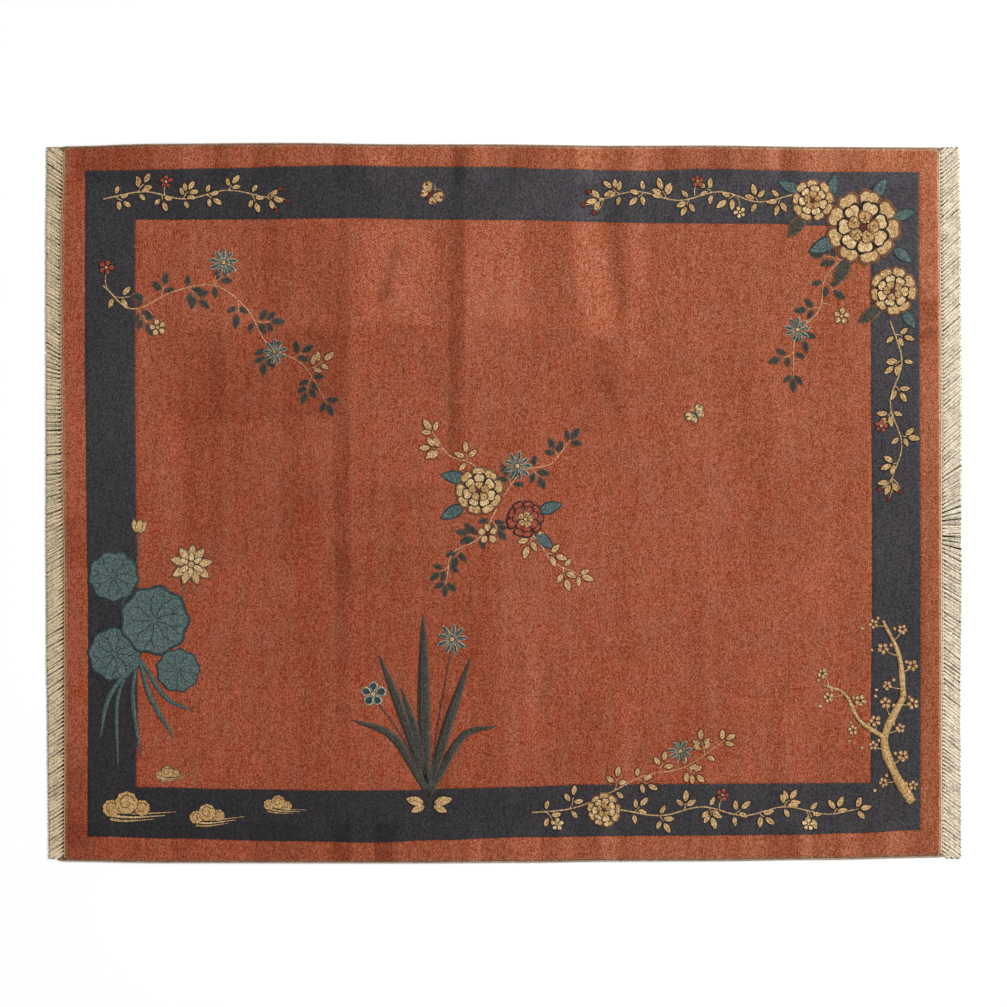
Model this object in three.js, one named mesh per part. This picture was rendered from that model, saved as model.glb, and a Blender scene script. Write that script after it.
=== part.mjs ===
// Chinese Art Deco rug: hand-knotted wool pile in one piece, lying flat with a few low creases,
// with an overcast selvedge cord along each long edge and a cotton fringe along each short edge.
// Millimetres. +X runs along the rug, +Y runs across it to the back edge, and +Z is up.
// The origin is on the floor under the middle of the rug.

import * as THREE from "three";

// Driving dimensions
const OVERALL_LENGTH = 3121; // from fringe tips to fringe tips
const PILE_LEFT = -1492; // straight line of the pile's left edge
const PILE_RIGHT = 1492; // straight line of the pile's right edge
const RUG_WIDTH = 2441; // across the rug, over both selvedge cords
const RUG_THICKNESS = 12; // cotton foundation and wool pile together
const RIM_THICKNESS = 8.5; // where the clipped pile falls away at its rim
const SHOULDER = 12; // how far in from the rim the pile reaches its full height
const CORNER_RADIUS = 8;
const SELVEDGE_WIDTH = 7;
const SELVEDGE_HEIGHT = 8;
const HEADING_WIDTH = 8; // woven web between the pile and the fringe
const FRINGE_THICKNESS = 4;
const TUFT_PITCH = 30;
const TUFT_WIDTH = 23;
const FRINGE_ROOTS = 1178; // the outermost tufts leave the heading this far from the middle
const FRINGE_TIPS = 1212; // no tuft reaches further from the middle than this
const SEAM_GAP = 0.3; // between neighbouring pieces
const GRID_PITCH = 150; // between two plain lines of the body's mesh
const GRID_MERGE = 30; // a line nearer than this to another is left out

const PILE_EDGE_Y = RUG_WIDTH / 2 - SELVEDGE_WIDTH - SEAM_GAP;
const FRINGE_REACH = OVERALL_LENGTH / 2;

// How far each edge of the pile swings outside its straight line, at places along it.
const BACK_SWING = [
  { at: -1500, value: -4 },
  { at: -1151, value: 5 },
  { at: -742, value: 8 },
  { at: -333, value: 3 },
  { at: -26, value: 3 },
  { at: 384, value: -2 },
  { at: 691, value: -1 },
  { at: 1100, value: -6 },
  { at: 1500, value: -8 },
];
const FRONT_SWING = [
  { at: -1500, value: 2 },
  { at: -1151, value: 7 },
  { at: -333, value: 8 },
  { at: 77, value: 6 },
  { at: 384, value: 2 },
  { at: 691, value: 1 },
  { at: 1100, value: -4 },
  { at: 1500, value: -12 },
];
const LEFT_SWING = [
  { at: -1200, value: -3 },
  { at: -820, value: -4 },
  { at: -247, value: -3 },
  { at: 135, value: 3 },
  { at: 612, value: 7 },
  { at: 899, value: 7 },
  { at: 1200, value: -3 },
];
const RIGHT_SWING = [
  { at: -1200, value: 0 },
  { at: -820, value: 1 },
  { at: 135, value: 0 },
  { at: 612, value: -2 },
  { at: 1200, value: -7 },
];

// Angle of the fringe's tufts from straight out, positive towards the back edge.
const LEFT_LEAN = [
  { at: -1200, value: -31 },
  { at: -400, value: -33 },
  { at: -120, value: -24 },
  { at: 120, value: -9 },
  { at: 350, value: 2 },
  { at: 520, value: 30 },
  { at: 1200, value: 32 },
];
const RIGHT_LEAN = [
  { at: -1200, value: -36 },
  { at: -500, value: -38 },
  { at: -180, value: -28 },
  { at: -90, value: 0 },
  { at: -10, value: 26 },
  { at: 180, value: 39 },
  { at: 1200, value: 41 },
];

// Low ridges that folding left in the rug. Each is centred on x, y and runs along Y until it is
// turned counter-clockwise by turn degrees. reach is half its length and half is half its width.
const CREASES = [
  { x: -520, y: 70, turn: 0, reach: 930, half: 58, rise: 4.5 },
  { x: -148, y: 680, turn: -1, reach: 640, half: 62, rise: 5.5 },
  { x: 237, y: 860, turn: 2, reach: 430, half: 84, rise: 5 },
  { x: 435, y: 940, turn: -2, reach: 430, half: 76, rise: 6 },
  { x: 385, y: 486, turn: 24, reach: 150, half: 36, rise: 3 },
  { x: -838, y: 860, turn: 2, reach: 260, half: 42, rise: 3 },
  { x: -757, y: 850, turn: 0, reach: 230, half: 40, rise: 3 },
  { x: -357, y: 742, turn: -17, reach: 170, half: 48, rise: 4 },
  { x: 850, y: 330, turn: 5, reach: 310, half: 72, rise: 3 },
  { x: 60, y: -720, turn: -2, reach: 330, half: 60, rise: 3 },
  { x: 400, y: -860, turn: 0, reach: 330, half: 60, rise: 3 },
  { x: 830, y: -800, turn: 3, reach: 350, half: 62, rise: 3.5 },
  { x: 1010, y: -880, turn: -2, reach: 310, half: 66, rise: 3.5 },
  { x: 980, y: -66, turn: 88, reach: 460, half: 44, rise: 2.5 },
  { x: -960, y: -56, turn: 91, reach: 280, half: 42, rise: 2 },
];

/** Reads a table of at and value rows, easing from each row to the next. */
function readTable(rows, at) {
  const first = rows[0];
  const last = rows[rows.length - 1];
  if (at <= first.at) return first.value;
  if (at >= last.at) return last.value;
  const next = rows.findIndex((row) => row.at > at);
  const from = rows[next - 1];
  const to = rows[next];
  const share = THREE.MathUtils.smoothstep(at, from.at, to.at);
  return THREE.MathUtils.lerp(from.value, to.value, share);
}

/** A rounded swell: 1 at 0, easing to 0 at -1 and at 1. */
function swell(t) {
  return Math.abs(t) < 1 ? Math.cos((t * Math.PI) / 2) ** 2 : 0;
}

/** How far the creases lift the rug off the floor at a place. */
function liftAt(x, y) {
  return CREASES.reduce((lift, crease) => {
    const turn = THREE.MathUtils.degToRad(crease.turn);
    const dx = x - crease.x;
    const dy = y - crease.y;
    const across = dx * Math.cos(turn) + dy * Math.sin(turn);
    const along = dy * Math.cos(turn) - dx * Math.sin(turn);
    return lift + crease.rise * swell(across / crease.half) * swell(along / crease.reach);
  }, 0);
}

/** The mesh lines across one direction: the rims, the shoulders, and more lines at the creases. */
function gridLines(low, high, creasePlaces) {
  const lines = [low, low + SHOULDER / 3, low + SHOULDER];
  const spread = high - low - 2 * SHOULDER;
  const steps = Math.ceil(spread / GRID_PITCH);
  const plain = Array.from({ length: steps }, (_, i) => low + SHOULDER + (spread * i) / steps);
  const wanted = [...creasePlaces, ...plain].filter(
    (at) => at > low + 2 * SHOULDER && at < high - 2 * SHOULDER,
  );
  const kept = [];
  wanted.forEach((at) => {
    if (kept.every((other) => Math.abs(other - at) > GRID_MERGE)) kept.push(at);
  });
  kept.sort((a, b) => a - b);
  return [...lines, ...kept, high - SHOULDER, high - SHOULDER / 3, high];
}

/** The places that the creases' shapes need on one axis: those that cross it, from side to side. */
function creasePlaces(axis) {
  const crossing = CREASES.filter((crease) => Math.abs(crease.turn) < 45 === (axis === "x"));
  return [0, -0.5, 0.5, -1, 1].flatMap((share) =>
    crossing.map((crease) => crease[axis] + share * crease.half),
  );
}

const COLUMNS = gridLines(PILE_LEFT, PILE_RIGHT, creasePlaces("x"));
const ROWS = gridLines(-PILE_EDGE_Y, PILE_EDGE_Y, creasePlaces("y"));

/** Rounds a corner: moves a place near a corner of the straight outline inside its arc. */
function roundCorner(x, y) {
  const middleX = (PILE_LEFT + PILE_RIGHT) / 2;
  const cornerX = (PILE_RIGHT - PILE_LEFT) / 2 - CORNER_RADIUS;
  const cornerY = PILE_EDGE_Y - CORNER_RADIUS;
  const overX = Math.abs(x - middleX) - cornerX;
  const overY = Math.abs(y) - cornerY;
  if (overX <= 0 || overY <= 0) return { x, y };
  const pull = Math.max(overX, overY) / Math.hypot(overX, overY);
  return {
    x: middleX + Math.sign(x - middleX) * (cornerX + overX * pull),
    y: Math.sign(y) * (cornerY + overY * pull),
  };
}

/** Where a place of the straight outline lies on the real rug, whose edges swing a little. */
function placeOnRug(x, y) {
  const shareX = (x - PILE_LEFT) / (PILE_RIGHT - PILE_LEFT);
  const shareY = (y + PILE_EDGE_Y) / (2 * PILE_EDGE_Y);
  const swingX = THREE.MathUtils.lerp(-readTable(LEFT_SWING, y), readTable(RIGHT_SWING, y), shareX);
  const swingY = THREE.MathUtils.lerp(-readTable(FRONT_SWING, x), readTable(BACK_SWING, x), shareY);
  return { x: x + swingX, y: y + swingY };
}

/** Height of the pile's top over the foundation's underside, lower at the rim. */
function thicknessAt(x, y) {
  const inset = Math.min(x - PILE_LEFT, PILE_RIGHT - x, PILE_EDGE_Y - Math.abs(y));
  const share = THREE.MathUtils.clamp(inset / SHOULDER, 0, 1);
  return THREE.MathUtils.lerp(RIM_THICKNESS, RUG_THICKNESS, Math.sqrt(share * (2 - share)));
}

/** Moves each vertex of a unit box, whose segments number the columns, rows and layers. */
function shapeBox(columns, rows, layers, place) {
  const geometry = new THREE.BoxGeometry(1, 1, 1, columns, rows, layers);
  const position = geometry.getAttribute("position");
  for (let i = 0; i < position.count; i += 1) {
    const column = Math.round((position.getX(i) + 0.5) * columns);
    const row = Math.round((position.getY(i) + 0.5) * rows);
    const layer = Math.round((position.getZ(i) + 0.5) * layers);
    const { x, y, z } = place(column, row, layer);
    position.setXYZ(i, x, y, z);
  }
  geometry.computeVertexNormals();
  return geometry;
}

/** The knotted body: pile and foundation as one sheet that lies on its creases. */
function makeBodyGeometry() {
  return shapeBox(COLUMNS.length - 1, ROWS.length - 1, 1, (column, row, layer) => {
    const plain = { x: COLUMNS[column], y: ROWS[row] };
    const rounded = roundCorner(plain.x, plain.y);
    const { x, y } = placeOnRug(rounded.x, rounded.y);
    return { x, y, z: liftAt(x, y) + layer * thicknessAt(plain.x, plain.y) };
  });
}

/** One overcast cord along a long edge: side is 1 for the back edge and -1 for the front. */
function makeSelvedgeGeometry(side) {
  const stations = COLUMNS.filter(
    (x) => x >= PILE_LEFT + CORNER_RADIUS && x <= PILE_RIGHT - CORNER_RADIUS,
  );
  return shapeBox(stations.length - 1, 2, 2, (column, row, layer) => {
    const edge = placeOnRug(stations[column], side * PILE_EDGE_Y);
    const across = row - 1;
    const up = layer - 1;
    const round = across !== 0 && up !== 0 ? Math.SQRT1_2 : 1;
    const centre = edge.y + side * (SEAM_GAP + SELVEDGE_WIDTH / 2);
    return {
      x: edge.x,
      y: centre + (across * round * SELVEDGE_WIDTH) / 2,
      z: liftAt(edge.x, edge.y) + (SELVEDGE_HEIGHT * (1 + up * round)) / 2,
    };
  });
}

/** One fringe as a comb: a web heading against the pile, and tufts that lean as they lie. */
function makeFringeGeometry(side, leanRows) {
  const edgeX = side < 0 ? PILE_LEFT : PILE_RIGHT;
  const stations = ROWS.filter((y) => Math.abs(y) <= PILE_EDGE_Y - CORNER_RADIUS);
  const pileSide = stations.map((y) => {
    const edge = placeOnRug(edgeX, y);
    return new THREE.Vector2(edge.x + side * SEAM_GAP, edge.y);
  });
  const headingAt = (y) => placeOnRug(edgeX, y).x + side * (SEAM_GAP + HEADING_WIDTH);

  const comb = [];
  const tufts = Math.floor((2 * FRINGE_ROOTS - TUFT_WIDTH) / TUFT_PITCH);
  for (let i = 0; i <= tufts; i += 1) {
    const middle = (i - tufts / 2) * TUFT_PITCH;
    const root = headingAt(middle);
    const reach = side * FRINGE_REACH - root;
    const lean = THREE.MathUtils.degToRad(readTable(leanRows, middle));
    const shift = Math.tan(lean) * Math.abs(reach);
    const room = FRINGE_TIPS - TUFT_WIDTH / 2 - Math.abs(middle);
    const share = Math.min(1, room / Math.abs(shift));
    const tipX = root + share * reach;
    const low = middle - TUFT_WIDTH / 2;
    const high = middle + TUFT_WIDTH / 2;
    comb.push(
      new THREE.Vector2(headingAt(low), low),
      new THREE.Vector2(tipX, low + share * shift),
      new THREE.Vector2(tipX, high + share * shift),
      new THREE.Vector2(headingAt(high), high),
    );
  }
  const first = stations[0];
  const last = stations[stations.length - 1];
  const outline = [
    ...pileSide.reverse(),
    new THREE.Vector2(headingAt(first), placeOnRug(edgeX, first).y),
    ...comb,
    new THREE.Vector2(headingAt(last), placeOnRug(edgeX, last).y),
  ];
  const shape = new THREE.Shape(outline);
  return new THREE.ExtrudeGeometry(shape, { depth: FRINGE_THICKNESS, bevelEnabled: false });
}

const woolPile = new THREE.MeshStandardMaterial({ color: 0x9b5238, roughness: 0.95, metalness: 0 });
const selvedgeCord = new THREE.MeshStandardMaterial({ color: 0x8a7453, roughness: 0.9, metalness: 0 });
const creamCotton = new THREE.MeshStandardMaterial({ color: 0xccbc9c, roughness: 0.9, metalness: 0 });

/** Adds one named piece to the rug. */
function addPiece(rug, name, geometry, material) {
  const piece = new THREE.Mesh(geometry, material);
  piece.name = name;
  rug.add(piece);
}

const rug = new THREE.Group();
addPiece(rug, "rug_body", makeBodyGeometry(), woolPile);
addPiece(rug, "selvedge_back", makeSelvedgeGeometry(1), selvedgeCord);
addPiece(rug, "selvedge_front", makeSelvedgeGeometry(-1), selvedgeCord);
addPiece(rug, "fringe_left", makeFringeGeometry(-1, LEFT_LEAN), creamCotton);
addPiece(rug, "fringe_right", makeFringeGeometry(1, RIGHT_LEAN), creamCotton);

export default rug;
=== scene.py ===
"""Looks of a hand-knotted Chinese Art Deco wool rug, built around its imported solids.

Metres, in the part's own frame: +X runs along the rug, +Y to its back edge and +Z up, and the
origin is on the floor under the middle of the rug.
"""

import functools
import logging
import math
import random
from contextlib import contextmanager
from dataclasses import dataclass, field, replace
from enum import Enum
from typing import Iterator, Sequence

import bpy
import numpy as np
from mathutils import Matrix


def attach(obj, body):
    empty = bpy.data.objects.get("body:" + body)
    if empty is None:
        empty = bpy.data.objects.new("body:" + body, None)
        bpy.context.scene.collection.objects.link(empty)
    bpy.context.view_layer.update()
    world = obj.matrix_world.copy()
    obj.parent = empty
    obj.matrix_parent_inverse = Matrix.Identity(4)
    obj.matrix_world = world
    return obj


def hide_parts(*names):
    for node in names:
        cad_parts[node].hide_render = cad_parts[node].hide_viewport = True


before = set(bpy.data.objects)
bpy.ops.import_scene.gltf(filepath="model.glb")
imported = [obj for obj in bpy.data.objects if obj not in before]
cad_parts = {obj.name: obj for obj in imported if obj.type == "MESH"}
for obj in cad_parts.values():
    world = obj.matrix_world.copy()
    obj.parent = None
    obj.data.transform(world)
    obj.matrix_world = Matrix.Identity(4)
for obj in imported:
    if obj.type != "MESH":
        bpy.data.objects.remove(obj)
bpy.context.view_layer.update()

log = logging.getLogger("rug")
Array = np.ndarray
Point = tuple[float, float]
Route = Sequence[Point]
Colour = tuple[float, float, float, float]
Piece = bpy.types.Object
Material = bpy.types.Material

MM = 0.001
THICKNESS = 12 * MM
RIM_THICKNESS = 8.5 * MM
SHOULDER = 12 * MM
LEFT_CORNER = 8 * MM
RIGHT_CORNER = 10 * MM
SELVEDGE_WIDTH = 7 * MM
SELVEDGE_HEIGHT = 8 * MM
HEADING_WIDTH = 7 * MM
SEAM_GAP = 0.3 * MM
GROOVE_WIDTH = 7 * MM
GROOVE_DEPTH = 1.6 * MM
GRID_PITCH = 13.6 * MM
KNOT_WIDTH = 2.2 * MM
# How much faster than its brightness red, green and blue fade where painted shade darkens tinted pile,
# so that the painted shade deepens its hue
SHADE_TINT = (0.0, 0.4, 0.75)


# ---- How the rug lies: its woven lines, which all swing a little, and its creases


@dataclass(frozen=True)
class Line:
    """A woven line across the rug.

    straight is where it would run if it were straight, and swing holds (place along it, how far it
    swings to the plus side there) pairs.
    """

    straight: float
    swing: tuple[Point, ...]

    def at(self, along: Array) -> Array:
        """How far the line swings at places along it, eased from one pair to the next."""
        places, values = np.array(self.swing).T
        clipped = np.clip(along, places[0], places[-1])
        upper = np.clip(np.searchsorted(places, clipped, side="right"), 1, len(places) - 1)
        share = (clipped - places[upper - 1]) / (places[upper] - places[upper - 1])
        return values[upper - 1] + smoothed(share) * (values[upper] - values[upper - 1])


@dataclass(frozen=True)
class Crease:
    """A low ridge that folding left: its middle, its turn from +Y in degrees, and its sizes."""

    x: float
    y: float
    turn: float
    reach: float
    half: float
    rise: float

    def lift(self, x: Array, y: Array) -> Array:
        """How far this crease lifts the rug at places."""
        across, along = turned(x - self.x, y - self.y, self.turn)
        return self.rise * swell(across / self.half) * swell(along / self.reach)


def turned(x: Array, y: Array, degrees: float) -> tuple[Array, Array]:
    """Places as seen from axes that are turned counter-clockwise."""
    turn = math.radians(degrees)
    return x * math.cos(turn) + y * math.sin(turn), y * math.cos(turn) - x * math.sin(turn)


def swell(t: Array) -> Array:
    """A rounded swell: 1 at 0, easing to 0 at -1 and at 1."""
    return np.where(np.abs(t) < 1, np.cos(np.clip(t, -1, 1) * math.pi / 2) ** 2, 0.0)


def smoothed(share: Array) -> Array:
    """A share from 0 to 1, eased at both ends."""
    return share * share * (3 - 2 * share)


def line(straight: float, *swing: Point) -> Line:
    """A woven line from sizes in millimetres."""
    return Line(straight * MM, tuple((place * MM, value * MM) for place, value in swing))


def crease(x: float, y: float, turn: float, reach: float, half: float, rise: float) -> Crease:
    """A crease from sizes in millimetres."""
    return Crease(x * MM, y * MM, turn, reach * MM, half * MM, rise * MM)


# Lines along the width: the left rim, the band's outer and inner left side, and so to the right rim
LINES_X = (
    line(-1492, (-1200, 3), (-820, 4), (-247, 3), (135, -3), (612, -7), (899, -7), (1200, 3)),
    line(-1417, (-1107, 3), (-629, 5), (-343, 5), (-152, 1), (135, -2), (517, -6), (1090, -5)),
    line(-1248, (-916, 0), (-725, 4), (-247, 4), (-56, 0), (326, -4), (803, -4)),
    line(1255, (-803, -1), (-343, 3), (40, 3), (420, 0), (899, -2)),
    line(1421, (-820, 3), (-152, 3), (400, 0), (1090, -3)),
    line(1492, (-1200, 0), (-820, 1), (135, 0), (612, -2), (1200, -7)),
)
# Lines along the length: the front rim, the band's outer and inner front side, and so to the back
LINES_Y = (
    line(-1213.2, (-1500, -2), (-1151, -7), (-333, -8), (77, -6), (384, -2), (691, -1),
         (1100, 4), (1500, 12)),
    line(-1138, (-1356, 1), (-1151, -5), (-742, -14), (-435, -19), (-230, -11), (77, -1),
         (486, 4), (998, 7), (1202, 13), (1407, 23)),
    line(-967, (-1151, -2), (-947, -8), (-537, -13), (-333, -12), (-128, -5), (77, 0),
         (281, 7), (691, 10), (1202, 13)),
    line(956, (-947, 9), (-485, 14), (-230, 9), (77, 7), (281, 1), (486, -3), (895, -5),
         (1100, -12), (1202, -15)),
    line(1137, (-1356, -5), (-947, 3), (-742, 9), (-537, 13), (-333, 8), (-26, 8), (179, 0),
         (486, -6), (691, 1), (895, -3), (1100, -9), (1407, -10)),
    line(1213.2, (-1500, -4), (-1151, 5), (-742, 8), (-333, 3), (-26, 3), (384, -2), (691, -1),
         (1100, -6), (1500, -8)),
)
CREASES = (
    crease(-520, 70, 0, 930, 58, 4.5), crease(-148, 680, -1, 640, 62, 5.5),
    crease(237, 860, 2, 430, 84, 5), crease(435, 940, -2, 430, 76, 6),
    crease(385, 486, 24, 150, 36, 3), crease(-838, 860, 2, 260, 42, 3),
    crease(-757, 850, 0, 230, 40, 3), crease(-357, 742, -17, 170, 48, 4),
    crease(850, 330, 5, 310, 72, 3), crease(60, -720, -2, 330, 60, 3),
    crease(400, -860, 0, 330, 60, 3), crease(830, -800, 3, 350, 62, 3.5),
    crease(1010, -880, -2, 310, 66, 3.5), crease(980, -66, 88, 460, 44, 2.5),
    crease(-960, -56, 91, 280, 42, 2),
)


@dataclass(frozen=True)
class Lie:
    """The rug's plan and how it lies on the floor."""

    lines_x: tuple[Line, ...] = LINES_X
    lines_y: tuple[Line, ...] = LINES_Y
    creases: tuple[Crease, ...] = CREASES

    @property
    def left(self) -> float:
        """Straight place of the pile's left rim."""
        return self.lines_x[0].straight

    @property
    def right(self) -> float:
        """Straight place of the pile's right rim."""
        return self.lines_x[-1].straight

    @property
    def back(self) -> float:
        """Straight place of the pile's back rim, and of the front one below zero."""
        return self.lines_y[-1].straight

    def place(self, x: Array, y: Array) -> tuple[Array, Array]:
        """Moves places of the straight plan to where they lie on the real rug."""
        return x + self._swing(self.lines_x, x, y), y + self._swing(self.lines_y, y, x)

    @staticmethod
    def _swing(lines: Sequence[Line], at: Array, along: Array) -> Array:
        """Swing between the two woven lines on either side of each place."""
        straight = np.array([one.straight for one in lines])
        swings = np.stack([one.at(along) for one in lines])
        upper = np.clip(np.searchsorted(straight, at, side="right"), 1, len(lines) - 1)
        share = (at - straight[upper - 1]) / (straight[upper] - straight[upper - 1])
        column = np.arange(len(at))
        return swings[upper - 1, column] * (1 - share) + swings[upper, column] * share

    def lift(self, x: Array, y: Array) -> Array:
        """How far the creases lift the rug off the floor."""
        return sum(one.lift(x, y) for one in self.creases)

    def top(self, x: Array, y: Array) -> Array:
        """Height of the pile's top away from the rims."""
        return self.lift(x, y) + THICKNESS

    def edge(self, along: float, side: int, long_edge: bool) -> Point:
        """A place on the pile's rim.

        Args:
            along: Place along that rim.
            side: 1 for the back or right rim, and -1 for the front or left one.
            long_edge: Whether it is a long rim, along X.

        Returns:
            The x and y of the place.
        """
        across = (self.back * side) if long_edge else (self.right if side > 0 else self.left)
        x, y = (along, across) if long_edge else (across, along)
        placed = self.place(np.array([x]), np.array([y]))
        return float(placed[0][0]), float(placed[1][0])

    def past(self, x: Array, y: Array, ring: int) -> Array:
        """How far inside a ring places of the straight plan are: ring 0 is the rims, 1 and 2 the band's."""
        xs = [one.straight for one in self.lines_x]
        ys = [one.straight for one in self.lines_y]
        across = np.minimum(x - xs[ring], xs[-1 - ring] - x)
        return np.minimum(across, np.minimum(y - ys[ring], ys[-1 - ring] - y))

    def inside_band(self, x: float, y: float) -> bool:
        """Whether a place lies on the dark band."""
        return bool(self.past(x, y, 1) > 0 >= self.past(x, y, 2))


# ---- Yarns and finishes


class Yarn(Enum):
    """Dyed yarns, as display colours from 0 to 255."""

    TERRACOTTA = (147, 75, 49)
    EMBER = (153, 68, 40)
    CLAY = (146, 73, 48)
    PALE_TERRACOTTA = (156, 88, 56)
    # Rim colours, partly wear and soil and partly painted light: a painted shade and a painted highlight
    RIM_SOIL_AND_SHADE = (122, 96, 70)
    RIM_WOOL = (196, 156, 122)
    BRICK = (104, 50, 33)
    NAVY = (56, 54, 58)
    HALO = (108, 72, 53)
    INK = (54, 57, 54)
    SLATE = (70, 69, 63)
    MIST = (142, 148, 130)
    TEAL = (76, 96, 94)
    DEEP_TEAL = (44, 60, 62)
    PINE = (66, 64, 57)
    CREAM = (196, 166, 120)
    SAND = (184, 149, 100)
    GOLD = (176, 138, 84)
    PEACH = (184, 134, 96)
    UMBER = (44, 36, 32)
    RUST = (146, 62, 46)
    WINE = (104, 40, 36)
    COTTON = (244, 230, 204)
    # The left fringe's cotton, darker than COTTON
    DARKER_COTTON = (226, 205, 168)
    # Where soil and painted shade take the fringe strands: darkest in the shaded gaps
    SOIL_AND_SHADE_COTTON = (36, 26, 14)
    HEADING = (254, 220, 188)
    # The left heading's colour, darker than HEADING: a painted shadow of the pile
    SHADED_HEADING = (218, 164, 126)
    OVERCAST = (204, 176, 148)
    DULL_OVERCAST = (112, 80, 54)
    BACKING = (176, 156, 124)

    @property
    def linear(self) -> Colour:
        """The colour as a shader takes it."""
        shares = [channel / 255 for channel in self.value]
        return (*(s / 12.92 if s <= 0.04045 else ((s + 0.055) / 1.055) ** 2.4 for s in shares), 1.0)


class Board:
    """A node tree that is wired by code."""

    def __init__(self, tree: bpy.types.NodeTree) -> None:
        """Starts on a tree, which keeps the nodes that it has."""
        self.tree = tree

    def add(self, kind: str, feeds: dict | None = None, **settings: object) -> bpy.types.Node:
        """Adds a node.

        Args:
            kind: Its type.
            feeds: What its inputs take, by name or place: values, or sockets to link.
            settings: Its other settings.

        Returns:
            The new node.
        """
        node = self.tree.nodes.new(kind)
        for name, value in settings.items():
            setattr(node, name, value)
        for place, value in (feeds or {}).items():
            self.feed(node.inputs[place], value)
        return node

    def feed(self, socket: bpy.types.NodeSocket, value: object) -> None:
        """Links a socket to another one, or sets its own value."""
        if isinstance(value, bpy.types.NodeSocket):
            self.tree.links.new(value, socket)
        else:
            socket.default_value = value

    def coordinates(self) -> object:
        """Places in the object's own frame."""
        return self.add("ShaderNodeTexCoord").outputs["Object"]

    def stretched(self, coordinates: object, scale: tuple[float, float, float]) -> object:
        """Coordinates scaled on each axis."""
        return self.add("ShaderNodeMapping", {"Vector": coordinates, "Scale": scale}).outputs["Vector"]

    def noise(self, coordinates: object, scale: float, detail: float, rough: float = 0.5) -> object:
        """Noise from 0 to 1 with features of about 1 / scale metres."""
        feeds = {"Vector": coordinates, "Scale": scale, "Detail": detail, "Roughness": rough}
        return self.add("ShaderNodeTexNoise", feeds, noise_dimensions="3D").outputs["Fac"]

    def math(self, operation: str, a: object, b: object = 0.0) -> object:
        """A sum, product or other operation on two values."""
        return self.add("ShaderNodeMath", {0: a, 1: b}, operation=operation).outputs[0]

    def sum(self, *values: object) -> object:
        """The sum of several values."""
        return functools.reduce(functools.partial(self.math, "ADD"), values)

    def product(self, *values: object) -> object:
        """The product of several values."""
        return functools.reduce(functools.partial(self.math, "MULTIPLY"), values)

    def ranged(self, value: object, span: Point, to: Point = (0.0, 1.0), eased: bool = False) -> object:
        """A value moved from one range to another and kept inside it."""
        feeds = {"Value": value, "From Min": span[0], "From Max": span[1], "To Min": to[0], "To Max": to[1]}
        kind = "SMOOTHSTEP" if eased else "LINEAR"
        return self.add("ShaderNodeMapRange", feeds, interpolation_type=kind).outputs["Result"]

    def mix(self, share: object, a: object, b: object, blend: str = "MIX") -> object:
        """Two colours mixed or blended."""
        feeds = {0: share, 6: a, 7: b}
        return self.add("ShaderNodeMix", feeds, data_type="RGBA", blend_type=blend).outputs[2]

    def dimmed(self, colour: object, share: float | tuple[float, float, float]) -> object:
        """A colour times a share, or times one share for each channel."""
        shares = share if isinstance(share, tuple) else (share, share, share)
        return self.mix(1.0, colour, (*shares, 1.0), "MULTIPLY")

    def attribute(self, name: str) -> object:
        """A value that the mesh carries at its points."""
        return self.add("ShaderNodeAttribute", attribute_name=name).outputs["Fac"]

    def group(self, tree: bpy.types.NodeTree, **values: object) -> bpy.types.Node:
        """Places a node group and feeds its inputs by name."""
        return self.add("ShaderNodeGroup", values, node_tree=tree)


COLOUR, NUMBER = "NodeSocketColor", "NodeSocketFloat"


def new_group(name: str, inputs: dict[str, str]) -> tuple[Board, object, object]:
    """Starts a shader node group that gives a colour and a height.

    Args:
        name: The group's name.
        inputs: Socket kind by input name.

    Returns:
        The board, the group's input node and its output node.
    """
    tree = bpy.data.node_groups.new(name, "ShaderNodeTree")
    for label, kind in inputs.items():
        tree.interface.new_socket(label, in_out="INPUT", socket_type=kind)
    for label, kind in (("Color", COLOUR), ("Height", NUMBER)):
        tree.interface.new_socket(label, in_out="OUTPUT", socket_type=kind)
    board = Board(tree)
    return board, board.add("NodeGroupInput"), board.add("NodeGroupOutput")


# Slow changes in the wool's tone, partly dye lots and partly painted sheen where tufts lean together:
# stretch of the noise, its scale and how far the tone swings
WOOL_DRIFTS = (
    ((1.0, 0.1, 1.0), 12, 0.17), ((1.0, 0.06, 1.0), 300, 0.30), ((1.0, 0.16, 1.0), 44, 0.15),
    ((0.12, 1.0, 1.0), 36, 0.05), ((1.0, 1.0, 1.0), 2.6, 0.12),
)
# A tuft's light from -1 to 1: how far its own tone swings, and what its middle gains and its edge loses
TUFT_SWING = 1.35
TUFT_ROUND = (0.22, -0.30)
# Shares of the yarn's colour, and of its grey, that make up the darkest tuft and the palest: the
# palest takes on grey, a painted sheen on its tips, and the darkest a deeper hue, a painted shade
DEEP_KEEPS, DEEP_LOSES = 0.68, 0.15
BRIGHT_KEEPS, BRIGHT_GAINS = 1.2, (0.64, 0.53, 0.43)


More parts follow.
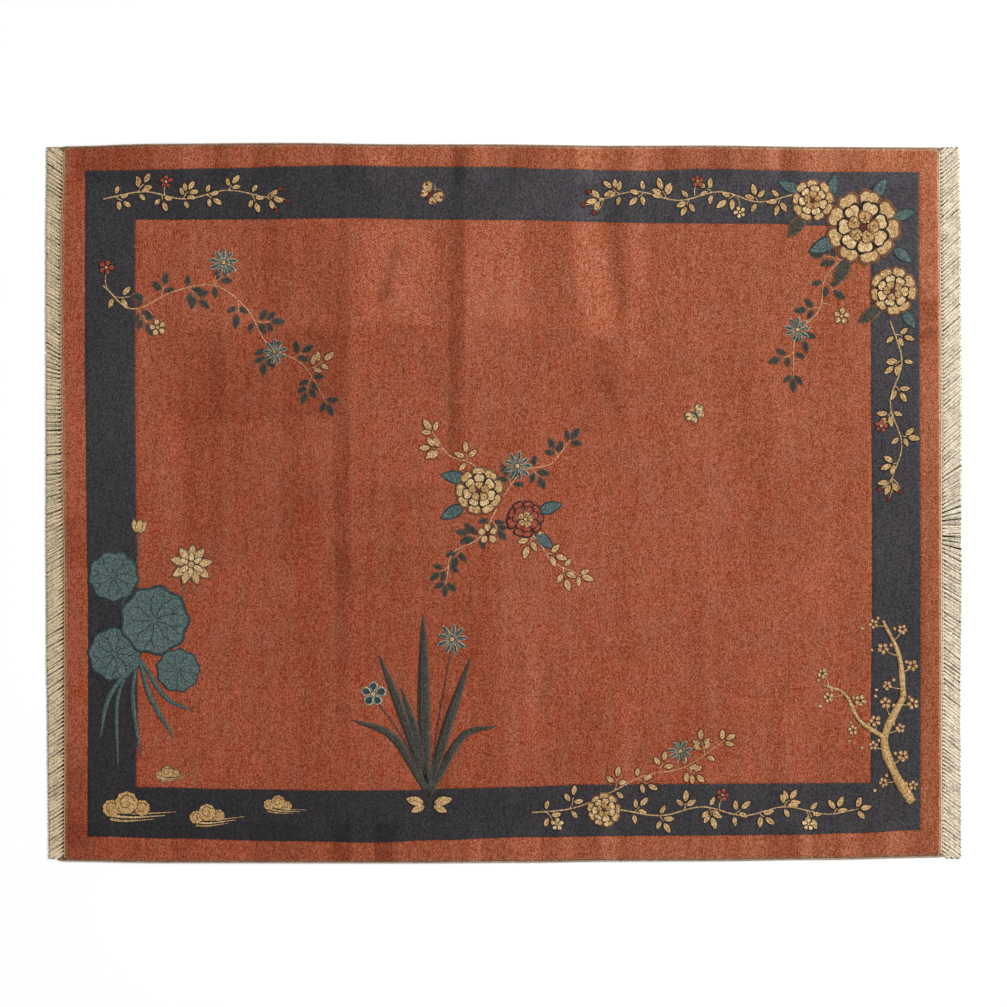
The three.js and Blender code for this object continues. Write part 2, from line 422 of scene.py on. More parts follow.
def build_wool_group() -> bpy.types.NodeTree:
    """Cut wool pile: each tuft's tone, tufts leaning together, slow dye lots, painted sheen and shade."""
    board, given, out = new_group(
        "cut wool pile", {"Yarn": COLOUR, "Shade": NUMBER, "Streak": NUMBER, "Tint": NUMBER}
    )
    yarn = given.outputs["Yarn"]
    coordinates = board.coordinates()
    knots = {
        "Vector": board.stretched(coordinates, (1.0, 0.66, 1.0)), "Scale": 1 / KNOT_WIDTH, "Randomness": 0.55
    }
    tufts = board.add("ShaderNodeTexVoronoi", knots, voronoi_dimensions="2D", feature="F1")
    own = board.add("ShaderNodeSeparateColor", {"Color": tufts.outputs["Color"]})
    drifts = []
    for stretch, scale, swing in WOOL_DRIFTS:
        drift = board.noise(board.stretched(coordinates, stretch), scale, 2.0)
        drifts.append(board.ranged(drift, (0.3, 0.7), (-swing, swing)))
    light = board.sum(
        board.ranged(own.outputs["Red"], (0.0, 1.0), (-TUFT_SWING, TUFT_SWING)),
        board.ranged(tufts.outputs["Distance"], (0.1, 0.75), TUFT_ROUND),
        board.product(board.sum(*drifts), given.outputs["Streak"]),
    )

    # The darkest tufts get a painted shade, deeper in hue, and the palest a painted sheen that greys them
    grey = board.add("ShaderNodeRGBToBW", {"Color": yarn}).outputs["Val"]
    deep = board.mix(1.0, board.dimmed(yarn, DEEP_KEEPS), board.dimmed(grey, DEEP_LOSES), "SUBTRACT")
    bright = board.mix(1.0, board.dimmed(yarn, BRIGHT_KEEPS), board.dimmed(grey, BRIGHT_GAINS), "ADD")
    coloured = board.mix(board.ranged(light, (-1.0, 0.0), (1.0, 0.0)), yarn, deep)
    coloured = board.mix(board.ranged(light, (0.0, 1.0)), coloured, bright)
    # The painted shade that the pile is given, deeper in hue where Tint is 1
    shade = board.add("ShaderNodeCombineColor")
    for channel, more in zip(shade.inputs, SHADE_TINT):
        power = board.sum(board.product(given.outputs["Tint"], more), 1.0)
        board.feed(channel, board.math("POWER", given.outputs["Shade"], power))
    board.feed(out.inputs["Color"], board.mix(1.0, coloured, shade.outputs["Color"], "MULTIPLY"))
    rounded = board.ranged(tufts.outputs["Distance"], (0.0, 0.8), (0.6, 0.0))
    board.feed(out.inputs["Height"], board.sum(rounded, board.product(own.outputs["Green"], 0.4)))
    return board.tree


def build_cotton_group() -> bpy.types.NodeTree:
    """Plied cotton: each strand's tone, with its painted shade, soiled in patches, with fine slubs."""
    board, given, out = new_group("plied cotton", {"Yarn": COLOUR, "Soil": COLOUR})
    coordinates = board.coordinates()
    slubs = board.noise(coordinates, 300, 2.0)
    patches = board.noise(coordinates, 24, 2.0)
    # The strand's tone carries painted shade; the patches and slubs are soil and yarn
    dirt_and_shade = board.sum(
        board.attribute("tone"),
        board.ranged(patches, (0.35, 0.7), (-0.08, 0.18)),
        board.ranged(slubs, (0.3, 0.7), (-0.34, 0.60)),
    )
    soiled_and_shaded = board.mix(board.ranged(dirt_and_shade, (0.0, 1.0)), given.outputs["Yarn"], given.outputs["Soil"])
    board.feed(out.inputs["Color"], soiled_and_shaded)
    board.feed(out.inputs["Height"], slubs)
    return board.tree


class Groups:
    """The shader node groups, each built once."""

    def __init__(self) -> None:
        """Builds them."""
        self.wool = build_wool_group()
        self.cotton = build_cotton_group()


def new_material(name: str, look: tuple[float, float, float]) -> tuple[Material, Board, object]:
    """Starts a node material.

    Args:
        name: The material's name.
        look: Its roughness, sheen and sheen roughness.

    Returns:
        The material, its board and its Principled shader.
    """
    material = bpy.data.materials.new(name)
    material.use_nodes = True
    shader = material.node_tree.nodes["Principled BSDF"]
    for label, value in zip(("Roughness", "Sheen Weight", "Sheen Roughness"), look):
        shader.inputs[label].default_value = value
    shader.inputs["Specular IOR Level"].default_value = 0.12
    return material, Board(material.node_tree), shader


def surface(board: Board, shader: object, colour: object, height: object, depth: float) -> None:
    """Gives a shader its colour and its relief.

    Args:
        board: The board that it is on.
        shader: The Principled shader.
        colour: Its colour.
        height: Height of the relief, from 0 to 1.
        depth: How deep the relief is, in metres.
    """
    board.feed(shader.inputs["Base Color"], colour)
    bump = board.add("ShaderNodeBump", {"Strength": 1.0, "Distance": depth, "Height": height})
    board.feed(shader.inputs["Normal"], bump.outputs["Normal"])


@dataclass(frozen=True)
class WoolFinish:
    """One dyed wool yarn as it shows in the motifs."""

    yarn: Yarn
    depth: float = 1.2 * MM

    def make(self, groups: Groups) -> Material:
        """Makes the material."""
        material, board, shader = new_material(f"wool_{self.yarn.name.lower()}", (0.95, 0.12, 0.5))
        # Shade is the pile's painted shade, which the motifs carry as their tone
        wool = board.group(groups.wool, Yarn=self.yarn.linear, Shade=board.attribute("tone"), Streak=0.6)
        surface(board, shader, wool.outputs["Color"], wool.outputs["Height"], self.depth)
        return material


@dataclass(frozen=True)
class GroundFinish:
    """The carpet's ground: terracotta guard and field, and the dark band between its cut lines.

    ragged is how far the knots take the band's outlines in and out, soft how far its yarns mingle
    there, worn_and_lit how wide the rims are, whose colour is partly wear and partly painted light and
    shade, and wear_and_light how much of that colour they take at most.
    """

    band_yarn: Yarn = Yarn.NAVY
    depth: float = 1.2 * MM
    ragged: float = 1.3 * MM
    soft: float = 2.0 * MM
    worn_and_lit: float = 9 * MM
    wear_and_light: float = 0.6

    def make(self, groups: Groups) -> Material:
        """Makes the material, which reads the distances and the shade that the mesh carries."""
        material, board, shader = new_material("carpet_ground", (0.95, 0.12, 0.5))
        coordinates = board.coordinates()
        ragged = board.ranged(board.noise(coordinates, 200, 1.0), (0.3, 0.7), (-self.ragged, self.ragged))
        outer = board.sum(board.attribute("past_outer"), ragged)
        inner = board.sum(board.attribute("past_inner"), ragged)
        within_outer = board.ranged(outer, (-self.soft, self.soft), eased=True)
        outside_inner = board.ranged(inner, (-self.soft, self.soft), (1.0, 0.0), eased=True)
        band = board.product(within_outer, outside_inner)
        off_band = board.math("SUBTRACT", 1.0, band)

        lots = board.noise(board.stretched(coordinates, (1.0, 0.4, 1.0)), 24, 3.0, 0.6)
        yarn = board.mix(board.ranged(lots, (0.36, 0.64)), Yarn.EMBER.linear, Yarn.CLAY.linear)
        # Paler red towards the right and the back, more on the guards
        yarn = board.mix(board.attribute("paler_share"), yarn, Yarn.PALE_TERRACOTTA.linear)
        yarn = board.mix(band, yarn, self.band_yarn.linear)
        # The rims' colour, partly wear and soil and partly a painted highlight and shade
        rim = board.ranged(board.attribute("past_rim"), (0.0, self.worn_and_lit), (self.wear_and_light, 0.0), eased=True)
        worn_and_lit = board.mix(board.attribute("rim_wear_and_light"), Yarn.RIM_SOIL_AND_SHADE.linear, Yarn.RIM_WOOL.linear)
        yarn = board.mix(rim, yarn, worn_and_lit)

        # Painted shade in the carved cut lines: the pile darkens towards them
        nearest = board.math("MINIMUM", board.math("ABSOLUTE", outer), board.math("ABSOLUTE", inner))
        groove = board.ranged(nearest, (0.5 * MM, 3.4 * MM), (0.84, 1.0), eased=True)
        # The dark band's painted sheen and shade; off the band this is 1
        band_light = board.sum(off_band, board.product(band, board.attribute("band_light")))
        shade = board.product(board.attribute("shade"), groove, band_light)
        wool = board.group(groups.wool, Yarn=yarn, Shade=shade, Streak=1.0, Tint=off_band)
        surface(board, shader, wool.outputs["Color"], wool.outputs["Height"], self.depth)
        return material


@dataclass(frozen=True)
class BackingFinish:
    """The rug's back: rows of knots on the cotton foundation."""

    yarn: Yarn = Yarn.BACKING
    knot: float = 4 * MM
    depth: float = 1.2 * MM

    def make(self) -> Material:
        """Makes the material."""
        material, board, shader = new_material("foundation_back", (0.92, 0.05, 0.5))
        coordinates = board.coordinates()
        rows = board.add(
            "ShaderNodeTexWave",
            {"Vector": coordinates, "Scale": 1 / (self.knot * 3.2), "Distortion": 1.2, "Detail Scale": 60.0},
            wave_type="BANDS", bands_direction="X",
        )
        cells = board.noise(board.stretched(coordinates, (1.0, 0.8, 1.0)), 1 / self.knot, 2.0)
        tone = board.sum(board.product(rows.outputs["Fac"], 0.5), board.product(cells, 0.5))
        dull = board.mix(0.45, self.yarn.linear, Yarn.TERRACOTTA.linear)
        surface(board, shader, board.mix(tone, dull, self.yarn.linear), tone, self.depth)
        return material


@dataclass(frozen=True)
class CottonFinish:
    """Plied cotton or overcast yarn, with the colour that soil and painted shade take it towards."""

    name: str
    yarn: Yarn
    soil: Yarn
    depth: float = 0.5 * MM

    def make(self, groups: Groups) -> Material:
        """Makes the material."""
        material, board, shader = new_material(self.name, (0.9, 0.1, 0.5))
        cotton = board.group(groups.cotton, Yarn=self.yarn.linear, Soil=self.soil.linear)
        surface(board, shader, cotton.outputs["Color"], cotton.outputs["Height"], self.depth)
        return material


# ---- Modelling by hand: single pieces made with operators, then copied


def deselect_all() -> None:
    """Leaves nothing selected."""
    bpy.ops.object.select_all(action="DESELECT")


@contextmanager
def editing(piece: Piece) -> Iterator[None]:
    """Edit mode on one piece."""
    bpy.context.view_layer.objects.active = piece
    bpy.ops.object.mode_set(mode="EDIT")
    try:
        yield
    finally:
        bpy.ops.object.mode_set(mode="OBJECT")


def apply_modifier(piece: Piece, kind: str, **settings: object) -> None:
    """Adds a modifier, sets it and applies it."""
    bpy.context.view_layer.objects.active = piece
    modifier = piece.modifiers.new(kind.lower(), kind)
    for name, value in settings.items():
        setattr(modifier, name, value)
    bpy.ops.object.modifier_apply(modifier=modifier.name)


def read(parts: object, name: str, width: int = 1, kind: type = float) -> Array:
    """One value, or a row of them, for each part of a mesh."""
    values = np.empty(len(parts) * width, dtype=kind)
    parts.foreach_get(name, values)
    return values.reshape(-1, width) if width > 1 else values


@dataclass(frozen=True)
class Stock:
    """A modelled piece as arrays: its points, its faces' corners and sizes, and their material slots."""

    points: Array
    corners: Array
    sizes: Array
    slots: Array

    @classmethod
    def take(cls, piece: Piece) -> "Stock":
        """Reads a piece that is done and removes it."""
        mesh = piece.data
        stock = cls(
            read(mesh.vertices, "co", 3), read(mesh.loops, "vertex_index", kind=int),
            read(mesh.polygons, "loop_total", kind=int), read(mesh.polygons, "material_index", kind=int),
        )
        bpy.data.objects.remove(piece)
        return stock


@dataclass
class Heap:
    """Copies of stock pieces, gathered to become one mesh."""

    points: list[Array] = field(default_factory=list)
    corners: list[Array] = field(default_factory=list)
    sizes: list[Array] = field(default_factory=list)
    slots: list[Array] = field(default_factory=list)
    tones: list[Array] = field(default_factory=list)
    count: int = 0

    def add(self, stock: Stock, points: Array, slots: Array | None = None,
            tone: Array | float = 0.0) -> None:
        """Adds a copy whose points have been moved.

        Args:
            stock: The piece that is copied.
            points: Where its points go.
            slots: The material slot of each face, if not the stock's own.
            tone: The copy's tone, or that of each of its points.
        """
        self.points.append(points)
        self.corners.append(stock.corners + self.count)
        self.sizes.append(stock.sizes)
        self.slots.append(stock.slots if slots is None else slots)
        self.tones.append(np.broadcast_to(tone, len(points)))
        self.count += len(points)

    def build(self, name: str, materials: Sequence[Material]) -> Piece:
        """Makes the joined mesh.

        Args:
            name: The piece's name.
            materials: Its materials in slot order.

        Returns:
            The new object, at the origin.
        """
        mesh = bpy.data.meshes.new(name)
        sizes = np.concatenate(self.sizes)
        corners = np.concatenate(self.corners)
        mesh.vertices.add(self.count)
        mesh.vertices.foreach_set("co", np.concatenate(self.points).ravel())
        mesh.loops.add(len(corners))
        mesh.loops.foreach_set("vertex_index", corners)
        mesh.polygons.add(len(sizes))
        mesh.polygons.foreach_set("loop_start", np.concatenate([[0], np.cumsum(sizes)[:-1]]))
        for material in materials:
            mesh.materials.append(material)
        mesh.polygons.foreach_set("material_index", np.concatenate(self.slots))
        mesh.polygons.foreach_set("use_smooth", np.ones(len(sizes), dtype=bool))
        set_point_values(mesh, "tone", np.concatenate(self.tones))
        mesh.update(calc_edges=True)
        mesh.validate()
        piece = bpy.data.objects.new(name, mesh)
        bpy.context.scene.collection.objects.link(piece)
        return piece


def set_point_values(mesh: bpy.types.Mesh, name: str, values: Array) -> None:
    """Stores one value at each point of a mesh."""
    attribute = mesh.attributes.new(name, "FLOAT", "POINT")
    attribute.data.foreach_set("value", values.astype(np.float32))


@dataclass(frozen=True)
class Carving:
    """How a motif stands out of the pile: its cut outline, its rim and its domed middle."""

    outline: float = 1.7 * MM
    rim: float = 2.6 * MM
    root: float = 2.5 * MM
    cut_level: float = 0.35 * MM
    rise: float = 0.8 * MM
    dome: float = 0.5 * MM

    def carve(self, plan: Sequence[Point]) -> Stock:
        """Models one motif shape from its plan.

        Args:
            plan: The outline's points, counter-clockwise.

        Returns:
            A closed piece whose slots are 0 for the outline, 1 for the rim and 2 for the middle.
        """
        deselect_all()
        bpy.ops.mesh.primitive_circle_add(vertices=len(plan), radius=1, fill_type="NGON")
        piece = bpy.context.object
        for vertex, (x, y) in zip(piece.data.vertices, plan):
            vertex.co = (x, y, -self.root)
        for _ in range(3):
            piece.data.materials.append(None)
        spans = [(min(places), max(places)) for places in zip(*plan)]
        middle = [(low + high) / 2 for low, high in spans]
        half = [(high - low) / 2 for low, high in spans]
        up = self.root + self.cut_level
        with editing(piece):
            bpy.ops.mesh.select_all(action="SELECT")
            bpy.ops.mesh.extrude_region_move(TRANSFORM_OT_translate={"value": (0, 0, up)})
            half = self._step_in(middle, half, self.outline, 0.0)
            self._assign(piece, 1)
            half = self._step_in(middle, half, self.rim * 0.35, self.rise)
            self._assign(piece, 1)
            self._step_in(middle, half, self.rim * 0.65, 0.0)
            self._assign(piece, 2)
            bpy.ops.mesh.poke(offset=self.dome)
        return Stock.take(piece)

    @staticmethod
    def _step_in(middle: Sequence[float], half: Sequence[float], inset: float, rise: float) -> list[float]:
        """Extrudes the selected top by a rise and draws it in all round.

        Args:
            middle: Middle of the top.
            half: Its half sizes.
            inset: How far it is drawn in.
            rise: How far it is raised.

        Returns:
            The new half sizes.
        """
        inner = [max(size - inset, size * 0.3) for size in half]
        shares = [after / before for after, before in zip(inner, half)]
        bpy.ops.mesh.extrude_region_move(TRANSFORM_OT_translate={"value": (0, 0, rise)})
        bpy.ops.transform.resize(value=(*shares, 1), center_override=(*middle, 0))
        return inner

    @staticmethod
    def _assign(piece: Piece, slot: int) -> None:
        """Gives the selected faces a material slot."""
        piece.active_material_index = slot
        bpy.ops.object.material_slot_assign()


def leaf_plan(length: float, width: float, points: int, base: float, blunt: float,
              notch: float = 0.0) -> list[Point]:
    """Outline of a leaf or petal that starts at the origin and runs along +X.

    Args:
        length: From its base to its tip.
        width: Its widest.
        points: How many points the outline has.
        base: Under 1 the leaf is widest near its base, and over 1 near its tip.
        blunt: Under 1 its ends are rounder, and over 1 more pointed.
        notch: Depth of the dip in its tip.

    Returns:
        The outline, counter-clockwise.
    """
    plan = []
    for i in range(points):
        angle = 2 * math.pi * i / points
        along = (1 - math.cos(angle)) / 2
        half = 0.5 * width * max(0.0, math.sin(math.pi * along**base)) ** blunt
        dip = notch * along**6 * math.exp(-((half / (0.17 * width)) ** 2))
        plan.append((length * along - dip, -half if angle < math.pi else half))
    return plan


def disc_plan(radius: float, points: int, lobes: int, depth: float) -> list[Point]:
    """Outline of a disc with that many shallow lobes, counter-clockwise."""
    plan = []
    for i in range(points):
        angle = 2 * math.pi * i / points
        out = radius * (1 + depth * math.cos(lobes * angle))
        plan.append((out * math.cos(angle), out * math.sin(angle)))
    return plan


def cord_stock(sides: int, segments: int, lobes: float = 0.0, twist: float = 0.0) -> Stock:
    """Models a straight cord of unit radius that runs from x = 0 to x = 1.

    Args:
        sides: Points round it.
        segments: Steps along it.
        lobes: How far its two plies stand out of a round section.
        twist: Degrees that the plies turn from end to end.

    Returns:
        The closed cord.
    """
    deselect_all()
    bpy.ops.mesh.primitive_circle_add(vertices=sides, radius=1, fill_type="NGON",
                                      rotation=(0, math.pi / 2, 0))
    piece = bpy.context.object
    bpy.ops.object.transform_apply()
    for vertex in piece.data.vertices:
        angle = math.atan2(vertex.co.z, vertex.co.y)
        vertex.co *= 1 + lobes * math.cos(2 * angle)
    with editing(piece):
        bpy.ops.mesh.select_all(action="SELECT")
        for _ in range(segments):
            bpy.ops.mesh.extrude_region_move(TRANSFORM_OT_translate={"value": (1 / segments, 0, 0)})
            if twist:
                bpy.ops.transform.rotate(value=math.radians(twist / segments), orient_axis="X",
                                         center_override=(0, 0, 0))
        bpy.ops.mesh.select_all(action="SELECT")
        bpy.ops.mesh.normals_make_consistent(inside=False)
    return Stock.take(piece)


def smooth_path(points: Sequence[Sequence[float]], steps: int = 10) -> Array:
    """A smooth curve through given points.

    Args:
        points: The points, each two or three numbers.
        steps: Curve points for each stretch.

    Returns:
        The curve's points.
    """
    given = np.array(points, dtype=float)
    if len(given) < 3:
        shares = np.linspace(0, 1, steps + 1)[:, None]
        return given[0] * (1 - shares) + given[-1] * shares
    knots = np.vstack([2 * given[0] - given[1], given, 2 * given[-1] - given[-2]])
    curve = []
    for i in range(1, len(knots) - 2):
        p0, p1, p2, p3 = knots[i - 1 : i + 3]
        for t in np.linspace(0, 1, steps, endpoint=False):
            curve.append(0.5 * (2 * p1 + (p2 - p0) * t + (2 * p0 - 5 * p1 + 4 * p2 - p3) * t**2
                                + (3 * p1 - p0 - 3 * p2 + p3) * t**3))
    curve.append(given[-1])
    return np.array(curve)


def along_path(path: Array, shares: Array) -> tuple[Array, Array]:
    """Points and headings at shares of a path's length.

    Args:
        path: The path's points, in two or three numbers.
        shares: Shares of its length, from 0 to 1.

    Returns:
        The points, and the path's level directions there.
    """
    run = np.concatenate([[0], np.cumsum(np.linalg.norm(np.diff(path, axis=0), axis=1))])

    def points_at(places: Array) -> Array:
        """The path's points at distances along it."""
        return np.stack([np.interp(places, run, column) for column in path.T], axis=1)

    at = np.clip(shares, 0, 1) * run[-1]
    reach = run[-1] * 0.01
    heading = (points_at(at + reach) - points_at(at - reach))[:, :2]
    return points_at(at), heading / np.maximum(np.linalg.norm(heading, axis=1, keepdims=True), 1e-9)


def path_length(path: Array) -> float:
    """A path's whole length."""
    return float(np.linalg.norm(np.diff(path, axis=0), axis=1).sum())


def place_along(path: Array, share: float) -> tuple[Point, float]:
    """The place at a share of a level path's length, and the path's direction there in degrees."""
    (place,), (heading,) = along_path(path, np.array([share]))
    return (float(place[0]), float(place[1])), math.degrees(math.atan2(heading[1], heading[0]))


def bend_cord(stock: Stock, path: Array, radius: Array | float, height: Array | float) -> Array:
    """Lays a straight cord along a path.

    Args:
        stock: The cord, from x = 0 to x = 1.
        path: Level path of two numbers a point, or three with the height of its middle.
        radius: The cord's half width at each of its points, or one for all.
        height: Its half height, in the same way.

    Returns:
        The cord's points on the path.
    """
    x, y, z = stock.points.T
    points, heading = along_path(path, x)
    level = points[:, 2] if path.shape[1] == 3 else 0.0
    side = np.stack([-heading[:, 1], heading[:, 0]], axis=1)
    moved = points[:, :2] + side * (y * radius)[:, None]
    return np.column_stack([moved, level + z * height])


# ---- The carpet itself


@dataclass(frozen=True)
class ShadePatch:
    """A soft patch of painted shade, lighter where its tone is above 0: middle, half sizes, tone and turn."""

    x: float
    y: float
    half_x: float
    half_y: float
    tone: float
    turn: float = 0.0

    def at(self, x: Array, y: Array) -> Array:
        """The patch's share of painted tone at places: full over its middle, and easing off towards its
        sides.
        """
        across, along = turned(x - self.x, y - self.y, self.turn)
        fade_x = smoothed(np.clip((1 - np.abs(across / self.half_x)) * 3, 0, 1))
        fade_y = smoothed(np.clip((1 - np.abs(along / self.half_y)) * 4.5, 0, 1))
        return self.tone * fade_x * fade_y


# Patches of painted shade and sheen, from the creases and the pile's lay: middle along and across the
# rug, the two half sizes, tone, and the turn where there is one
SHADE_PATCHES = (
    (-0.36, 0.78, 0.155, 0.19, 0.19), (-0.02, 0.8, 0.105, 0.2, 0.17), (0.1, 0.72, 0.42, 0.14, 0.05),
    (0.31, 0.8, 0.065, 0.27, 0.27, 8), (0.41, 0.86, 0.03, 0.22, -0.14, 6),
    (0.46, 0.72, 0.05, 0.26, 0.15, 4), (0.62, 0.76, 0.06, 0.24, 0.05),
    (-0.155, 0.66, 0.03, 0.6, -0.24, -1), (-0.7, 0.8, 0.15, 0.18, -0.13),
    (-0.545, 0.34, 0.03, 0.7, -0.14), (-0.545, -0.52, 0.026, 0.4, -0.12),
    (-0.62, 0.46, 0.06, 0.18, -0.11), (1.2, -1.17, 0.35, 0.07, -0.07), (1.455, 0.0, 0.05, 1.0, -0.05),
    (-0.86, 0.44, 0.36, 0.17, -0.12), (-0.86, 0.05, 0.3, 0.3, -0.07), (-0.72, 0.2, 0.04, 0.44, -0.08),
    (-0.97, 0.1, 0.025, 0.5, -0.09), (-1.12, 0.18, 0.05, 0.4, 0.05), (-0.86, 0.84, 0.035, 0.16, -0.1),
    (-0.68, 0.8, 0.055, 0.18, 0.08), (-0.385, 0.78, 0.02, 0.12, -0.26, -17),
    (-0.02, 0.44, 0.05, 0.14, 0.04), (0.36, 0.4, 0.02, 0.13, -0.12, 24), (0.34, 0.34, 0.13, 0.12, -0.06),
    (-0.4, 0.02, 0.34, 0.05, -0.07), (-0.2, -0.22, 0.5, 0.09, -0.06), (-0.42, -0.46, 0.46, 0.16, -0.05),
    (0.55, -0.45, 0.7, 0.3, 0.03), (0.3, 0.0, 0.6, 0.4, 0.03), (0.1, -0.66, 0.022, 0.2, 0.09),
    (0.22, -0.7, 0.014, 0.24, -0.08), (-0.12, -0.74, 0.02, 0.24, 0.08), (-0.05, -0.78, 0.014, 0.22, -0.1),
    (-0.19, -0.8, 0.016, 0.2, -0.1), (0.04, -0.84, 0.02, 0.2, 0.12), (0.42, -0.84, 0.03, 0.18, 0.08),
    (0.82, -0.84, 0.04, 0.2, 0.08, 3), (0.67, -0.6, 0.016, 0.36, -0.06), (0.99, -0.9, 0.04, 0.22, 0.1),
    (0.95, 0.3, 0.035, 0.16, 0.08, 4), (0.66, 0.4, 0.04, 0.22, 0.05), (-0.7, -0.86, 0.05, 0.2, -0.05),
    (-1.455, -1.03, 0.05, 0.16, -0.18), (-1.455, -0.13, 0.05, 0.1, -0.13),
    (-1.455, 0.15, 0.05, 0.16, 0.08), (1.455, 0.95, 0.05, 0.28, 0.14), (1.455, 0.66, 0.03, 0.035, -0.2),
    (1.455, 0.575, 0.035, 0.025, -0.24), (1.455, 0.32, 0.05, 0.2, 0.1), (1.455, -0.56, 0.05, 0.1, -0.08),
)
# Bars of shade across the back guard and the front one: middle, half width and tone
BACK_BARS = (
    (-1.32, 0.17, -0.22), (-1.07, 0.03, 0.13), (-0.955, 0.035, -0.18), (-0.81, 0.045, -0.18),
    (-0.545, 0.035, -0.22), (-0.42, 0.05, 0.17), (-0.145, 0.025, -0.22), (-0.075, 0.035, 0.24),
    (0.07, 0.06, -0.17), (0.295, 0.055, 0.36), (0.47, 0.035, 0.2), (0.575, 0.035, -0.2),
    (0.745, 0.045, -0.24), (0.925, 0.025, 0.2), (0.985, 0.025, -0.16), (1.09, 0.06, 0.22),
    (1.31, 0.08, 0.2),
)
FRONT_BARS = (
    (-1.43, 0.09, -0.14), (-1.08, 0.06, -0.1), (-0.77, 0.1, -0.19), (-0.55, 0.04, -0.29),
    (-0.4, 0.045, -0.33), (-0.235, 0.025, 0.1), (-0.095, 0.022, 0.22), (0.08, 0.06, 0.15),
    (0.215, 0.025, 0.18), (0.365, 0.03, 0.24), (0.56, 0.13, 0.06), (0.86, 0.05, 0.12), (0.985, 0.02, -0.16),
    (1.035, 0.028, 0.32), (1.1, 0.03, 0.12), (1.185, 0.035, 0.26), (1.34, 0.045, 0.24),
)
# How far from the rug's middle line the bars lie, and their half length
BARS_ACROSS = 1.17
BAR_HALF_LENGTH = 0.09
# Patches of painted sheen and shade that only the dark band has
BAND_LIGHT_PATCHES = (
    (-0.86, 1.05, 0.52, 0.12, -0.2), (0.24, 1.05, 0.22, 0.12, 0.16), (-0.8, -1.05, 0.56, 0.12, -0.08),
    (-1.34, 0.1, 0.12, 0.45, 0.1), (1.34, -0.2, 0.12, 0.75, -0.1),
)
# Slopes over the whole rug: a value at its middle, and what it gains in a metre along it and across.
# The pile's and the band's are painted light, lighter towards the right and the back; the other two
# say how much paler the red is.
PILE_SLOPE = (1.0, 0.012, 0.036)
BAND_LIGHT_SLOPE = (0.97, 0.17, 0.15)
FIELD_PALER_SHARE = (0.17, 0.12, 0.11)
GUARD_PALER_SHARE_MORE = (0.2, 0.1, -0.04)
# How pale rather than dark the left, front, back and right rim is, and the back one's gain in a metre:
# partly wear and soil, partly painted light, a highlight on the lit rims and shade on the front one
RIM_WEAR_AND_LIGHT = (0.85, 0.1, 0.35, 1.0)
BACK_WEAR_AND_LIGHT_ALONG = 0.25


def sloped(slope: tuple[float, float, float], x: Array, y: Array) -> Array:
    """A value that changes evenly over the rug."""
    return slope[0] + slope[1] * x + slope[2] * y


def pile_shade(x: Array, y: Array) -> Array:
    """Painted shade and sheen on the pile, 1 being even: creases, the pile's lay and a slope."""
    patches = list(SHADE_PATCHES)
    for across, bars in ((BARS_ACROSS, BACK_BARS), (-BARS_ACROSS, FRONT_BARS)):
        patches += [(along, across, half, BAR_HALF_LENGTH, tone) for along, half, tone in bars]
    return sloped(PILE_SLOPE, x, y) + sum(ShadePatch(*patch).at(x, y) for patch in patches)


def band_light(x: Array, y: Array) -> Array:
    """Painted sheen and shade on the dark band at places: it gains towards its back right corner."""
    return sloped(BAND_LIGHT_SLOPE, x, y) + sum(ShadePatch(*patch).at(x, y) for patch in BAND_LIGHT_PATCHES)


